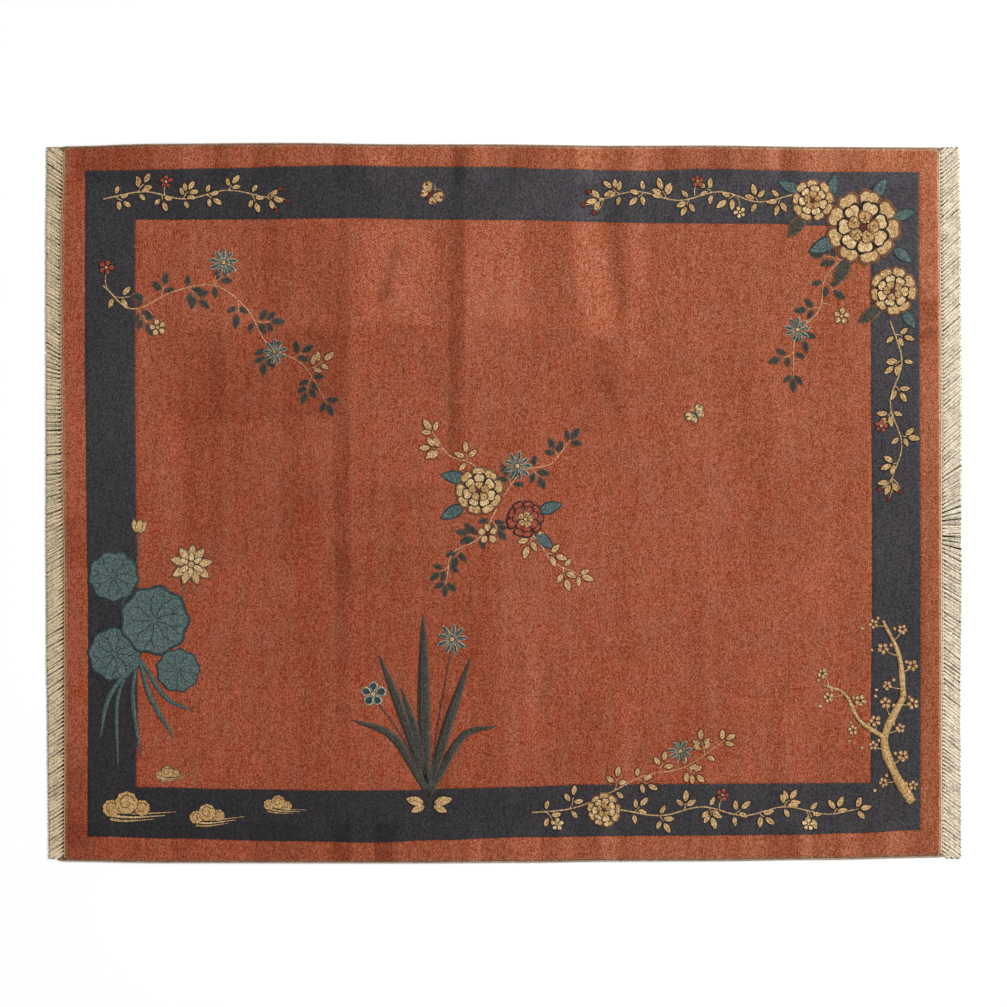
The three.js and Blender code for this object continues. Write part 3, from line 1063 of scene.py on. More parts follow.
@dataclass
class Carpet:
    """The knotted sheet: pile and foundation in one, on its creases.

    Its mesh is at most pitch wide between lines, and has lines at shares of the rim's shoulder and of
    a groove's half width.
    """

    lie: Lie
    pitch: float = GRID_PITCH
    rim_steps: tuple[float, ...] = (0.0, 0.12, 0.35, 0.65, 1.0)
    groove_steps: tuple[float, ...] = (-1.0, -0.45, 0.0, 0.45, 1.0)

    def stations(self, lines: Sequence[Line]) -> Array:
        """Where the mesh's lines run: at the rims, their shoulders, the cut lines and between."""
        first, *cuts, last = [one.straight for one in lines]
        places = [first + SHOULDER * step for step in self.rim_steps]
        places += [last - SHOULDER * step for step in self.rim_steps]
        places += [cut + GROOVE_WIDTH / 2 * step for cut in cuts for step in self.groove_steps]
        lows = [first + SHOULDER, *(cut + GROOVE_WIDTH / 2 for cut in cuts)]
        highs = [*(cut - GROOVE_WIDTH / 2 for cut in cuts), last - SHOULDER]
        for low, high in zip(lows, highs):
            steps = math.ceil((high - low) / self.pitch)
            places += list(np.linspace(low, high, steps + 1)[1:-1])
        return np.array(sorted(places))

    def build(self, ground: Material, back: Material) -> Piece:
        """Models the sheet.

        Args:
            ground: Material of the pile.
            back: Material of the underside.

        Returns:
            The closed sheet.
        """
        xs = self.stations(self.lie.lines_x)
        ys = self.stations(self.lie.lines_y)
        deselect_all()
        bpy.ops.mesh.primitive_grid_add(x_subdivisions=len(xs) - 1, y_subdivisions=len(ys) - 1, size=1)
        piece = bpy.context.object
        piece.name = "wool_carpet"
        piece.data.materials.append(ground)
        piece.data.materials.append(back)
        apply_modifier(piece, "SOLIDIFY", thickness=1.0, offset=1.0)
        self._shape(piece.data, xs, ys)
        return piece

    def _shape(self, mesh: bpy.types.Mesh, xs: Array, ys: Array) -> None:
        """Moves the flat slab's points onto the rug and stores what its material reads."""
        slab = read(mesh.vertices, "co", 3)
        plan_x = xs[np.rint((slab[:, 0] + 0.5) * (len(xs) - 1)).astype(int)]
        plan_y = ys[np.rint((slab[:, 1] + 0.5) * (len(ys) - 1)).astype(int)]
        x, y = self.lie.place(*self._rounded(plan_x, plan_y))
        height = self.lie.lift(x, y) + np.where(slab[:, 2] > 0.5, self._thickness(plan_x, plan_y), 0.0)
        mesh.vertices.foreach_set("co", np.column_stack([x, y, height]).ravel())
        mesh.update()
        under = read(mesh.polygons, "normal", 3)[:, 2] < -0.5
        mesh.polygons.foreach_set("material_index", under.astype(int))
        mesh.polygons.foreach_set("use_smooth", np.ones(len(mesh.polygons), dtype=bool))
        past_rim, past_outer, past_inner = (self.lie.past(plan_x, plan_y, ring) for ring in (0, 1, 2))
        guard = np.where(past_outer < 0, sloped(GUARD_PALER_SHARE_MORE, x, y), 0.0)
        # shade and band_light are painted shade and sheen, and rim_wear_and_light is partly painted light
        for name, values in (
            ("past_rim", past_rim), ("past_outer", past_outer), ("past_inner", past_inner),
            ("rim_wear_and_light", self._rim_wear_and_light(plan_x, plan_y)), ("shade", pile_shade(x, y)),
            ("band_light", band_light(x, y)), ("paler_share", sloped(FIELD_PALER_SHARE, x, y) + guard),
        ):
            set_point_values(mesh, name, values)

    def _rounded(self, x: Array, y: Array) -> tuple[Array, Array]:
        """Rounds the plan's four corners."""
        middle = (self.lie.left + self.lie.right) / 2
        radius = np.where(x < middle, LEFT_CORNER, RIGHT_CORNER)
        corner_x = (self.lie.right - self.lie.left) / 2 - radius
        corner_y = self.lie.back - radius
        over_x = np.abs(x - middle) - corner_x
        over_y = np.abs(y) - corner_y
        near = (over_x > 0) & (over_y > 0)
        pull = np.where(near, np.maximum(over_x, over_y) / np.maximum(np.hypot(over_x, over_y), 1e-9), 1)
        round_x = middle + np.sign(x - middle) * (corner_x + over_x * pull)
        round_y = np.sign(y) * (corner_y + over_y * pull)
        return np.where(near, round_x, x), np.where(near, round_y, y)

    def _rim_wear_and_light(self, x: Array, y: Array) -> Array:
        """Paleness of the nearest rim, from wear and painted light; the back one pales to the right."""
        insets = (x - self.lie.left, self.lie.back + y, self.lie.back - y, self.lie.right - x)
        nearest = np.argmin(np.array(insets), axis=0)
        return np.array(RIM_WEAR_AND_LIGHT)[nearest] + np.where(nearest == 2, BACK_WEAR_AND_LIGHT_ALONG * x, 0.0)

    def _thickness(self, x: Array, y: Array) -> Array:
        """Thickness of the sheet, lower at the rims and in the cut lines."""
        share = np.clip(self.lie.past(x, y, 0) / SHOULDER, 0, 1)
        thick = RIM_THICKNESS + (THICKNESS - RIM_THICKNESS) * np.sqrt(share * (2 - share))
        for ring in (1, 2):
            thick = thick - GROOVE_DEPTH * swell(self.lie.past(x, y, ring) / (GROOVE_WIDTH / 2))
        return thick


# ---- Edges: overcast selvedges, woven headings and fringes


@dataclass
class Selvedge:
    """The overcast cord along one long edge: a core wrapped by slanting turns of yarn.

    Its tails run out past the pile's two corners, where they thin out and darken with painted shade. The
    turns are darker at the left and lighter towards the right. corner_ends is where the warp ends in
    each corner start, and end_shade is how much painted shade each one takes, from the fringe to the cord.
    """

    lie: Lie
    side: int
    turn_pitch: float = 5.2 * MM
    slant: float = 18.0
    tail_left: float = 30 * MM
    tail_right: float = 36 * MM
    tail_thins: float = 0.6
    core_share: float = 0.4
    core_points: int = 240
    dull_left: float = 0.6
    dull_falls: float = 0.62
    dull_tails: float = 0.5
    corner_ends: float = 1.1975
    end_reach: float = 0.9
    end_level: float = 1.3 * MM
    end_half_width: float = 2.5 * MM
    end_half_height: float = 1.2 * MM
    end_shade: tuple[float, ...] = (0.75, 0.15, 0.0, 0.0)

    def build(self, name: str, materials: Sequence[Material], seed: int) -> Piece:
        """Models the wrapped cord."""
        chance = random.Random(seed)
        heap = Heap()
        start, end = self.lie.left - self.tail_left, self.lie.right + self.tail_right
        places = np.linspace(start + 2 * MM, end - 2 * MM, self.core_points)
        path = np.array([self._middle(x) for x in places])
        core = cord_stock(8, self.core_points - 1)
        slim = np.array([self._thin(x) for x in start + core.points[:, 0] * (end - start)]) * self.core_share
        heap.add(core, bend_cord(core, path, slim * SELVEDGE_WIDTH, slim * SELVEDGE_HEIGHT), tone=0.5)
        turn = self._turn_stock()
        x = start + self.turn_pitch / 2
        while x < end:
            thin = self._thin(x)
            share = (x - start) / (end - start)
            # Darker at the left and lighter towards the right, with painted shade on the thinning tails
            dull = self.dull_left - self.dull_falls * share + self.dull_tails * (1 - thin)
            heap.add(turn, turn.points * (1.0, thin, thin) + self._middle(x),
                     tone=dull + chance.uniform(-0.15, 0.15))
            x += self.turn_pitch * chance.uniform(0.92, 1.08)
        self._add_corner_ends(heap, chance)
        return heap.build(name, materials)

    def _thin(self, x: float) -> float:
        """Share of the cord's full thickness that is left at a place along the edge."""
        past = max((self.lie.left - x) / self.tail_left, (x - self.lie.right) / self.tail_right, 0.0)
        return 1.0 - self.tail_thins * min(past, 1.0)

    def _add_corner_ends(self, heap: Heap, chance: random.Random) -> None:
        """Adds the flat warp ends that fill each corner between the cord's tail and the fringe."""
        end = cord_stock(5, 6)
        # The corner ends' colour is painted shade: dark in the left corners, light in the right, darkest by
        # the fringe
        for tip_x, at, dull in ((self.lie.left - self.tail_left * self.end_reach, -1, 0.75),
                                (self.lie.right + self.tail_right * self.end_reach, 1, 0.1)):
            root_x = self.lie.edge(self.side * self.lie.back, at, long_edge=False)[0] + at * 0.5 * MM
            tip = self._middle(tip_x)
            last = abs(tip[1]) - 2.6 * MM
            roots = np.linspace(self.corner_ends, last, len(self.end_shade)) * self.side
            for root_y, soil in zip(roots, self.end_shade):
                tip_y = tip[1] + (root_y - tip[1]) * 0.1
                path = smooth_path([(root_x, root_y, self.end_level), (tip[0], tip_y, self.end_level)], 6)
                heap.add(end, bend_cord(end, path, self.end_half_width, self.end_half_height),
                         tone=dull + soil + chance.uniform(-0.1, 0.1))

    def _middle(self, x: float) -> Array:
        """Middle of the cord at a place along the edge."""
        edge_x, edge_y = self.lie.edge(x, self.side, long_edge=True)
        lift = float(self.lie.lift(np.array([edge_x]), np.array([edge_y]))[0])
        across = edge_y + self.side * (SEAM_GAP + self._thin(x) * SELVEDGE_WIDTH / 2)
        return np.array([edge_x, across, lift + self._thin(x) * SELVEDGE_HEIGHT / 2])

    def _turn_stock(self) -> Stock:
        """One turn of the wrapping yarn."""
        deselect_all()
        thick = self.turn_pitch * 0.56
        bpy.ops.mesh.primitive_torus_add(
            major_segments=12, minor_segments=5, major_radius=SELVEDGE_WIDTH / 2 - thick / 2,
            minor_radius=thick / 2, rotation=(0, math.pi / 2, math.radians(self.slant * self.side)))
        piece = bpy.context.object
        bpy.ops.object.transform_apply()
        for vertex in piece.data.vertices:
            vertex.co.z *= SELVEDGE_HEIGHT / SELVEDGE_WIDTH
        return Stock.take(piece)


# The tufts' lean in degrees at places along each fringe, and how far out from the origin its tips end
LEFT_LEAN = Line(
    0.0, ((-1.2, -31), (-0.4, -33), (-0.12, -24), (0.12, -9), (0.35, 2), (0.52, 30), (1.2, 32))
)
RIGHT_LEAN = Line(
    0.0, ((-1.2, -36), (-0.5, -38), (-0.18, -28), (-0.09, 0), (-0.01, 26), (0.18, 39), (1.2, 41))
)
LEFT_REACH = line(1556, (-1200, -9), (-740, -5), (-460, -1), (0, 1), (800, 1), (1200, -2))
RIGHT_REACH = line(1563, (-1200, 0), (-600, -2), (-250, 2), (300, 2), (800, -1), (1200, -6))


@dataclass(frozen=True)
class Layer:
    """One layer of a tuft: how high its strands lie, how thick they are and their painted shade.

    spot is how much more painted shade each strand takes at one place along it.
    """

    level: float
    radius: float
    tone: float
    spot: float = 0.0


# Painted light and shade by layer: top strands lighter, side strands and lower layers darker
TOP_LAYER = Layer(4.2 * MM, 2.3 * MM, -0.08)
SIDE_LAYER = Layer(3.0 * MM, 2.3 * MM, 0.14)
UNDER_LAYER = Layer(1.4 * MM, 5.3 * MM, 0.56)
SHADED_LAYER = Layer(1.2 * MM, 5.3 * MM, 0.76, 1.0)
# A strand's route: shares of its reach, of its fan, of its bow and of its level
STRAND_STOPS = (
    (0.0, 0.0, 0.0, 1.0), (0.34, 0.78, 0.6, 1.0), (0.7, 0.95, 1.0, 0.9), (1.0, 1.0, 0.0, 0.85)
)


@dataclass
class Fringe:
    """The knotted warp ends along one short edge, with their woven heading.

    lean is each tuft's angle, reach is how far out the tips end, dark_gaps is the share of gaps whose
    lower strand takes the darkest painted shade, shade_spot_to is how far out that shade is darkest at
    most, and spread holds the places of a tuft's outer strands at its knot and at its tip. Neighbouring
    tufts sway together by a few degrees. knot_out and strand_out are how far past the heading the knots
    and strands start, short_by is how much shorter a strand may be, and bow how far it may bend.
    """

    lie: Lie
    side: int
    lean: Line
    reach: Line
    dark_gaps: float
    shade_spot_to: float
    spread: Point
    seed: int
    tuft_pitch: float = 13.4 * MM
    root_limit: float = 1.195
    tip_limit: float = 1.211
    sway_kept: float = 0.85
    sway_change: float = 1.2
    heading_level: float = 6.0 * MM
    heading_half_height: float = 3.4 * MM
    knot_out: float = 1.8 * MM
    knot_level: float = 4.4 * MM
    knot_size: tuple[float, float, float] = (2.4 * MM, 1.9 * MM, 2.6 * MM)
    strand_out: float = 0.8 * MM
    short_by: float = 1.7 * MM
    bow: float = 1.4 * MM
    spot_length: float = 0.24

    def build_heading(self, name: str, materials: Sequence[Material]) -> Piece:
        """Models the heading: a twined cotton row between the pile and the fringe."""
        heap = Heap()
        row = cord_stock(8, 480, lobes=0.12, twist=360 * 160)
        along, section = row.points[:, :1], row.points[:, 1:]
        row = replace(row, points=np.hstack([along, np.sign(section) * np.abs(section) ** 0.6]))
        limit = self.lie.back - 5 * MM
        half = HEADING_WIDTH / 2
        path = [self._from_edge(y, half, self.heading_level) for y in np.linspace(-limit, limit, 200)]
        laid = bend_cord(row, np.array(path), half - 0.05 * MM, self.heading_half_height)
        heap.add(row, laid, tone=-0.1)
        return heap.build(name, materials)

    def build_strands(self, name: str, materials: Sequence[Material]) -> Piece:
        """Models the tufts: three strands that fan out of each knot, over a lower layer."""
        chance = random.Random(self.seed)
        heap = Heap()
        strand = cord_stock(7, 10, lobes=0.16, twist=700)
        lower = cord_stock(5, 6)
        knot = self._knot_stock()
        tufts = int(2 * self.root_limit / self.tuft_pitch)
        sway = 0.0
        for i in range(tufts + 1):
            middle = (i - tufts / 2) * self.tuft_pitch + chance.uniform(-1.6, 1.6) * MM
            sway = sway * self.sway_kept + chance.gauss(0, self.sway_change)
            for k in (-1, 1, 0):
                y = middle + k * self.spread[0]
                fan = k * (self.spread[1] - self.spread[0])
                knot_at = self._from_edge(y, HEADING_WIDTH + self.knot_out, self.knot_level)
                heap.add(knot, knot.points + knot_at, tone=chance.uniform(-0.2, 0.1))
                self._add_strand(heap, strand, y, (sway, fan), SIDE_LAYER if k else TOP_LAYER, chance)
            # The lower strand in each gap takes painted shade, darkest in a share of the gaps
            under = SHADED_LAYER if chance.random() < self.dark_gaps else UNDER_LAYER
            self._add_strand(heap, lower, middle + self.tuft_pitch / 2, (sway, 0.0), under, chance)
        return heap.build(name, materials)

    def _add_strand(self, heap: Heap, strand: Stock, y: float, swing: Point, layer: Layer,
                    chance: random.Random) -> None:
        """Adds one strand.

        Args:
            heap: Where it goes.
            strand: The straight cord.
            y: Place of its root.
            swing: Degrees that it leans off the fringe's own lean, and how much further along the
                edge its tip lies than that lean takes it.
            layer: Its layer.
            chance: Source of its small differences.
        """
        turn, fan = swing
        angle = math.radians(float(self.lean.at(np.array([y]))[0]) + turn + chance.gauss(0, 0.8))
        edge_x = self.lie.edge(y, self.side, long_edge=False)[0]
        start = HEADING_WIDTH + self.strand_out
        tips = self.reach.straight + float(self.reach.at(np.array([y]))[0])
        reach = tips - abs(edge_x) - start - chance.uniform(0, self.short_by)
        shift = math.tan(angle) * reach
        room = max(self.tip_limit - abs(y), 2 * MM)
        if shift * y > 0 and abs(shift) > room:
            reach, shift = reach * room / abs(shift), shift * room / abs(shift)
        bow = chance.uniform(-self.bow, self.bow)
        stops = [
            (edge_x + self.side * (start + reach * out), y + shift * out + fan * opened + bow * bent,
             layer.level * high)
            for out, opened, bent, high in STRAND_STOPS
        ]
        path = smooth_path(stops, 6)
        height = min(layer.radius * 0.8, layer.level)
        along = strand.points[:, 0]
        # Painted shade on each strand's underside and towards its root, and a dark spot on the shaded layer
        underside_shade = np.clip(-strand.points[:, 2] * 0.5, 0, 0.5) + 0.06 * (1 - along)
        from_spot = (along - chance.uniform(0, self.shade_spot_to)) / self.spot_length
        spot = layer.spot * np.exp(-(from_spot**2))
        tone = layer.tone + chance.uniform(-0.12, 0.14)
        heap.add(strand, bend_cord(strand, path, layer.radius, height), tone=tone + underside_shade + spot)

    def _from_edge(self, y: float, out: float, level: float) -> Array:
        """A place outside the pile's rim."""
        edge_x, edge_y = self.lie.edge(y, self.side, long_edge=False)
        return np.array([edge_x + self.side * out, edge_y, level])

    def _knot_stock(self) -> Stock:
        """The knot at the head of one strand."""
        deselect_all()
        bpy.ops.mesh.primitive_uv_sphere_add(segments=7, ring_count=5, radius=1)
        piece = bpy.context.object
        piece.scale = self.knot_size
        bpy.ops.object.transform_apply()
        return Stock.take(piece)


# ---- Motifs, knotted in other yarns and carved out of the pile


@dataclass(frozen=True)
class Palette:
    """Yarns of a motif from its cut outline to its middle, and of its veins."""

    outline: Yarn
    rim: Yarn
    fill: Yarn
    vein: Yarn


# Dark outlines (UMBER, HALO, BRICK) are partly outline yarn and partly painted shadow of the carved cut
CREAM_LEAF = Palette(Yarn.UMBER, Yarn.CREAM, Yarn.SAND, Yarn.HALO)
WARM_LEAF = Palette(Yarn.BRICK, Yarn.CREAM, Yarn.SAND, Yarn.HALO)
NAVY_LEAF = Palette(Yarn.HALO, Yarn.SLATE, Yarn.INK, Yarn.SLATE)
TEAL_LEAF = Palette(Yarn.DEEP_TEAL, Yarn.TEAL, Yarn.TEAL, Yarn.DEEP_TEAL)
PINE_LEAF = Palette(Yarn.HALO, Yarn.PINE, Yarn.PINE, Yarn.INK)
CREAM_BLOOM = Palette(Yarn.UMBER, Yarn.CREAM, Yarn.CREAM, Yarn.GOLD)
SHADED_BLOOM = Palette(Yarn.HALO, Yarn.CREAM, Yarn.SAND, Yarn.GOLD)
GOLD_BLOOM = Palette(Yarn.HALO, Yarn.SAND, Yarn.GOLD, Yarn.HALO)
RUST_BLOOM = Palette(Yarn.UMBER, Yarn.RUST, Yarn.RUST, Yarn.PEACH)
WINE_BLOOM = Palette(Yarn.UMBER, Yarn.WINE, Yarn.RUST, Yarn.PEACH)
MIST_BLOOM = Palette(Yarn.MIST, Yarn.INK, Yarn.DEEP_TEAL, Yarn.MIST)
GOLD_CLOUD = Palette(Yarn.UMBER, Yarn.CREAM, Yarn.GOLD, Yarn.HALO)
BERRY = Palette(Yarn.UMBER, Yarn.RUST, Yarn.WINE, Yarn.WINE)
GOLD_EYE = Palette(Yarn.UMBER, Yarn.GOLD, Yarn.SAND, Yarn.UMBER)
# Peonies: their outer, middle and inner petals and their eye
CREAM_PEONY = (SHADED_BLOOM, CREAM_BLOOM, GOLD_BLOOM, BERRY)
WINE_PEONY = (WINE_BLOOM, RUST_BLOOM, GOLD_BLOOM, GOLD_EYE)


class Shape(Enum):
    """The motif shapes that are modelled once and copied, with their lengths as modelled."""

    LEAF = 0.046
    OVAL = 0.038
    BROAD = 0.100
    RAY = 0.050
    PETAL = 0.060
    ROUND = 0.026
    DISC = 0.024
    PAD = 0.170


class Kit:
    """Every stock piece of the motifs, at real size."""

    def __init__(self) -> None:
        """Models them."""
        small = Carving()
        fine = Carving(outline=1.3 * MM, rim=2.0 * MM)
        big = Carving(outline=2.4 * MM, rim=4.5 * MM, rise=1.0 * MM, dome=0.8 * MM)
        self.shapes: dict[Shape, Stock] = {
            Shape.LEAF: small.carve(leaf_plan(0.046, 0.0265, 20, 0.88, 0.76)),
            Shape.OVAL: small.carve(leaf_plan(0.038, 0.0235, 18, 1.1, 0.62)),
            Shape.BROAD: big.carve(leaf_plan(0.100, 0.050, 26, 0.84, 0.82)),
            Shape.RAY: fine.carve(leaf_plan(0.050, 0.017, 18, 1.25, 0.70)),
            Shape.PETAL: big.carve(leaf_plan(0.060, 0.054, 26, 1.7, 0.55, 0.006)),
            Shape.ROUND: fine.carve(leaf_plan(0.026, 0.023, 18, 1.35, 0.56)),
            Shape.DISC: fine.carve(disc_plan(0.012, 16, 1, 0.0)),
            Shape.PAD: big.carve(disc_plan(0.085, 48, 9, 0.045)),
        }
        self.stem = cord_stock(6, 22)
        self.thread = cord_stock(5, 6)


class Knotwork:
    """One group of motifs, gathered into one piece that follows the rug's lie.

    A level counts layers over the lowest motifs. Turns are in degrees from +X, counter-clockwise.
    A winding stem is laid in pieces, and thins from the first to the last.
    """

    LAYER = 0.7 * MM
    CORD_LEVEL = 0.55 * MM
    CORD_HALF_HEIGHT = 0.9 * MM
    LEAST_VEIN = 1.7 * MM
    STEM_PIECE = 0.14
    STEM_WIDTH = 4.8 * MM
    STEM_THINS = 1.2 * MM
    TWIG_WIDTH = 3.6 * MM
    STALK_WIDTH = 3.4 * MM

    def __init__(self, name: str, kit: Kit, lie: Lie, seed: int) -> None:
        """Starts an empty group."""
        self.name = name
        self.kit = kit
        self.lie = lie
        self.chance = random.Random(seed)
        self.heap = Heap()
        self.yarns: list[Yarn] = []

    def _slot(self, yarn: Yarn) -> int:
        """Material slot of a yarn."""
        if yarn not in self.yarns:
            self.yarns.append(yarn)
        return self.yarns.index(yarn)

    @staticmethod
    def ahead(at: Point, turn: float, distance: float) -> Point:
        """A place at a distance in a direction."""
        angle = math.radians(turn)
        return at[0] + distance * math.cos(angle), at[1] + distance * math.sin(angle)

    def stamp(self, shape: Shape, at: Point, length: float, turn: float, palette: Palette,
              level: float = 0.0) -> None:
        """Adds one copy of a shape.

        Args:
            shape: Which shape.
            at: Where its base goes, or the middle of a disc or pad.
            length: Its length.
            turn: Its direction.
            palette: Its yarns.
            level: Its level; its foot stays in the pile.
        """
        stock = self.kit.shapes[shape]
        size = length / shape.value
        x, y, z = stock.points.T
        turned_x, turned_y = turned(x, y, -turn)
        raised = z + np.where(z > -1 * MM, level * self.LAYER, 0.0)
        slots = np.array([self._slot(yarn) for yarn in (palette.outline, palette.rim, palette.fill)])
        points = np.column_stack([at[0] + size * turned_x, at[1] + size * turned_y, raised])
        self.heap.add(stock, points, slots[stock.slots])

    def _lay(self, stock: Stock, path: Array, radius: Array, yarn: Yarn, level: float) -> None:
        """Lays a cord of one yarn along a path.

        Args:
            stock: The straight cord.
            path: The path.
            radius: Its half width at each of its points.
            yarn: Its yarn.
            level: Its level.
        """
        moved = bend_cord(stock, path, radius, self.CORD_HALF_HEIGHT)
        moved[:, 2] += self.CORD_LEVEL + level * self.LAYER
        self.heap.add(stock, moved, np.full(len(stock.sizes), self._slot(yarn)))

    def line(self, points: Route, width: float, yarn: Yarn, level: float = 0.0,
             taper: float = 0.6, fine: bool = False, knobs: float = 0.0) -> None:
        """Adds a stem or vein.

        Args:
            points: Its route.
            width: Its width at the start.
            yarn: Its yarn.
            level: Its level.
            taper: Share of the width left at its end.
            fine: Whether it is a short thread, with few faces.
            knobs: How uneven its width is, as a share.
        """
        path = smooth_path(points, 8)
        stock = self.kit.thread if fine else self.kit.stem
        x = stock.points[:, 0]
        radius = width / 2 * (1 + (taper - 1) * x) * (1 + knobs * np.sin(x * 19 + width * 900))
        self._lay(stock, path, radius, yarn, level)

    def vein(self, points: Route, width: float, yarn: Yarn, level: float) -> None:
        """Adds a thin tapering line, wide enough to be knotted."""
        self.line(points, max(width, self.LEAST_VEIN), yarn, level, 0.6, fine=True)

    def ray(self, at: Point, turn: float, near: float, far: float) -> Route:
        """A straight route between two distances from a place."""
        return [self.ahead(at, turn, near), self.ahead(at, turn, far)]

    def leaf(self, at: Point, length: float, turn: float, palette: Palette, level: float = 0.0,
             shape: Shape = Shape.LEAF) -> None:
        """Adds a leaf with its midrib, and with side ribs if it is a broad one.

        Args:
            at: Where its base goes.
            length: Its length.
            turn: Its direction.
            palette: Its yarns.
            level: Its level.
            shape: Its shape.
        """
        self.stamp(shape, at, length, turn, palette, level)
        self.vein(self.ray(at, turn, length * 0.12, length * 0.72), length * 0.03, palette.vein, level + 1.0)
        if shape is Shape.BROAD:
            for share in (0.26, 0.42, 0.58):
                for side in (-1, 1):
                    start = self.ahead(at, turn, length * share)
                    route = self.ray(start, turn + side * 42, 0.0, length * 0.19)
                    self.vein(route, length * 0.02, palette.vein, level + 1.1)

    def broad_leaves(self, *rows: tuple[float, float, float, float, Palette]) -> None:
        """Adds broad leaves, each by its place, length, direction and palette."""
        for x, y, length, turn, palette in rows:
            self.leaf((x, y), length, turn, palette, 0, Shape.BROAD)

    def free_leaf(self, at: Point, length: float, turn: float, on_field: Palette,
                  shape: Shape = Shape.LEAF) -> None:
        """Adds a leaf in the palette of its ground: cream on the dark band, the given one elsewhere."""
        on_band = self.lie.inside_band(*self.ahead(at, turn, length / 2))
        self.leaf(at, length, turn, CREAM_LEAF if on_band else on_field, 0.0, shape)

    def stem_yarn(self, at: Point) -> Yarn:
        """Yarn of a stem, by the ground that it lies on."""
        return Yarn.SAND if self.lie.inside_band(*at) else Yarn.PEACH

    def sprig(self, at: Point, turn: float, reach: float, pairs: int, leaf: float, on_field: Palette,
              shape: Shape = Shape.LEAF) -> None:
        """Adds a twig with leaves in pairs and one at its tip.

        Args:
            at: Where it starts.
            turn: Its direction.
            reach: Its length.
            pairs: How many pairs of leaves it bears.
            leaf: Length of a leaf.
            on_field: Palette of the leaves that lie off the band.
            shape: Shape of its leaves.
        """
        bend = self.ahead(at, turn + self.chance.choice((-9, 9)), reach * 0.5)
        end = self.ahead(at, turn, reach)
        self.line([at, bend, end], self.TWIG_WIDTH, self.stem_yarn(bend), 0.0, 0.8, fine=True)
        for pair in range(pairs):
            share = (pair + 0.62) / (pairs + 0.3)
            place = (at[0] + (end[0] - at[0]) * share, at[1] + (end[1] - at[1]) * share)
            for side in (-1, 1):
                out = turn + side * self.chance.uniform(46, 64)
                base = self.ahead(self.ahead(place, turn, self.chance.uniform(-2, 2) * MM), out, 4 * MM)
                self.free_leaf(base, leaf * self.chance.uniform(0.78, 0.98), out, on_field, shape)
        tip_turn = turn + self.chance.uniform(-10, 10)
        tip_leaf = leaf * self.chance.uniform(0.92, 1.1)
        self.free_leaf(self.ahead(end, turn, 2 * MM), tip_leaf, tip_turn, on_field, shape)

    def spray(self, points: Route, on_field: Palette, leaf: float = 0.050,
              pitch: float = 0.100, twig: float = 0.050, first: int = 1,
              shape: Shape = Shape.LEAF) -> None:
        """Adds a winding stem with leafy sprigs on either side in turn.

        Args:
            points: The stem's route.
            on_field: Palette of the leaves that lie off the band.
            leaf: Length of a leaf.
            pitch: Distance between sprigs.
            twig: Length of a sprig.
            first: Side of the first sprig, 1 for left.
            shape: Shape of the leaves.
        """
        path = smooth_path(points, 12)
        length = path_length(path)
        pieces = max(2, round(length / self.STEM_PIECE))
        for i in range(pieces):
            stretch, _ = along_path(path, np.linspace(i / pieces, (i + 1) / pieces + 0.004, 6))
            width = self.STEM_WIDTH - self.STEM_THINS * i / pieces
            self.line(stretch, width, self.stem_yarn(stretch[3]), 0.0, 0.96)
        count = max(2, round(length / pitch))
        side = first
        for i in range(count):
            start, straight = place_along(path, (i + 0.55) / count * 0.96)
            turn = straight + side * self.chance.uniform(46, 66)
            reach = twig * self.chance.uniform(0.7, 1.2)
            self.sprig(start, turn, reach, 1 + (reach > twig * 1.08), leaf, on_field, shape)
            if i % 3 != 2:
                single = straight - side * self.chance.uniform(52, 74)
                self.free_leaf(self.ahead(start, single, 5 * MM), leaf * 0.82, single, on_field, shape)
            side = -side
        self.sprig(*place_along(path, 1.0), twig * 0.5, 1, leaf, on_field, shape)

    def band_spray(self, points: Route) -> None:
        """Adds a narrow spray that keeps within the band."""
        self.spray(points, WARM_LEAF, 0.047, 0.088, 0.026)

    def ring(self, shape: Shape, at: Point, count: int, inner: float, length: float, turn: float,
             palette: Palette, level: float) -> None:
        """Adds petals all round a place, each one lapping over the one before.

        Args:
            shape: Shape of a petal.
            at: The place.
            count: How many petals.
            inner: How far from the place they start.
            length: Their length.
            turn: Direction of the first one.
            palette: Their yarns.
            level: Level of the first one.
        """
        for i in range(count):
            angle = turn + 360 * i / count + self.chance.uniform(-4, 4)
            base = self.ahead(at, angle, inner)
            size = length * self.chance.uniform(0.93, 1.06)
            self.stamp(shape, base, size, angle, palette, level + 0.11 * i)

    def stalk(self, start: Point, end: Point) -> None:
        """Adds a short stalk that bends a little."""
        turn = math.degrees(math.atan2(end[1] - start[1], end[0] - start[0]))
        reach = math.dist(start, end)
        bend = self.ahead(start, turn + 12, reach * 0.5)
        self.line([start, bend, end], self.STALK_WIDTH, self.stem_yarn(bend), 0.0, 0.85, fine=True)

    def berries(self, start: Point, turn: float, reach: float = 0.064) -> None:
        """Adds three stalked berries that spread from one place."""
        for lean in (-40, 0, 40):
            end = self.ahead(start, turn + lean, reach * (1.15 if lean == 0 else 0.9))
            self.stalk(start, end)
            self.stamp(Shape.DISC, end, 0.021, 0, BERRY, 1)

    def blossom(self, at: Point, radius: float, palette: Palette, turn: float = 0.0,
                eye: Palette = GOLD_EYE) -> None:
        """Adds a plain five-petalled blossom with a small eye."""
        self.ring(Shape.ROUND, at, 5, radius * 0.14, radius * 0.86, turn, palette, 1)
        self.stamp(Shape.DISC, at, radius * 0.46, 0, eye, 2)

    def flower(self, root: Point, end: Point, at: Point, radius: float, palette: Palette,
               turn: float) -> None:
        """Adds a blossom on a stalk from its root to its end."""
        self.stalk(root, end)
        self.blossom(at, radius, palette, turn)

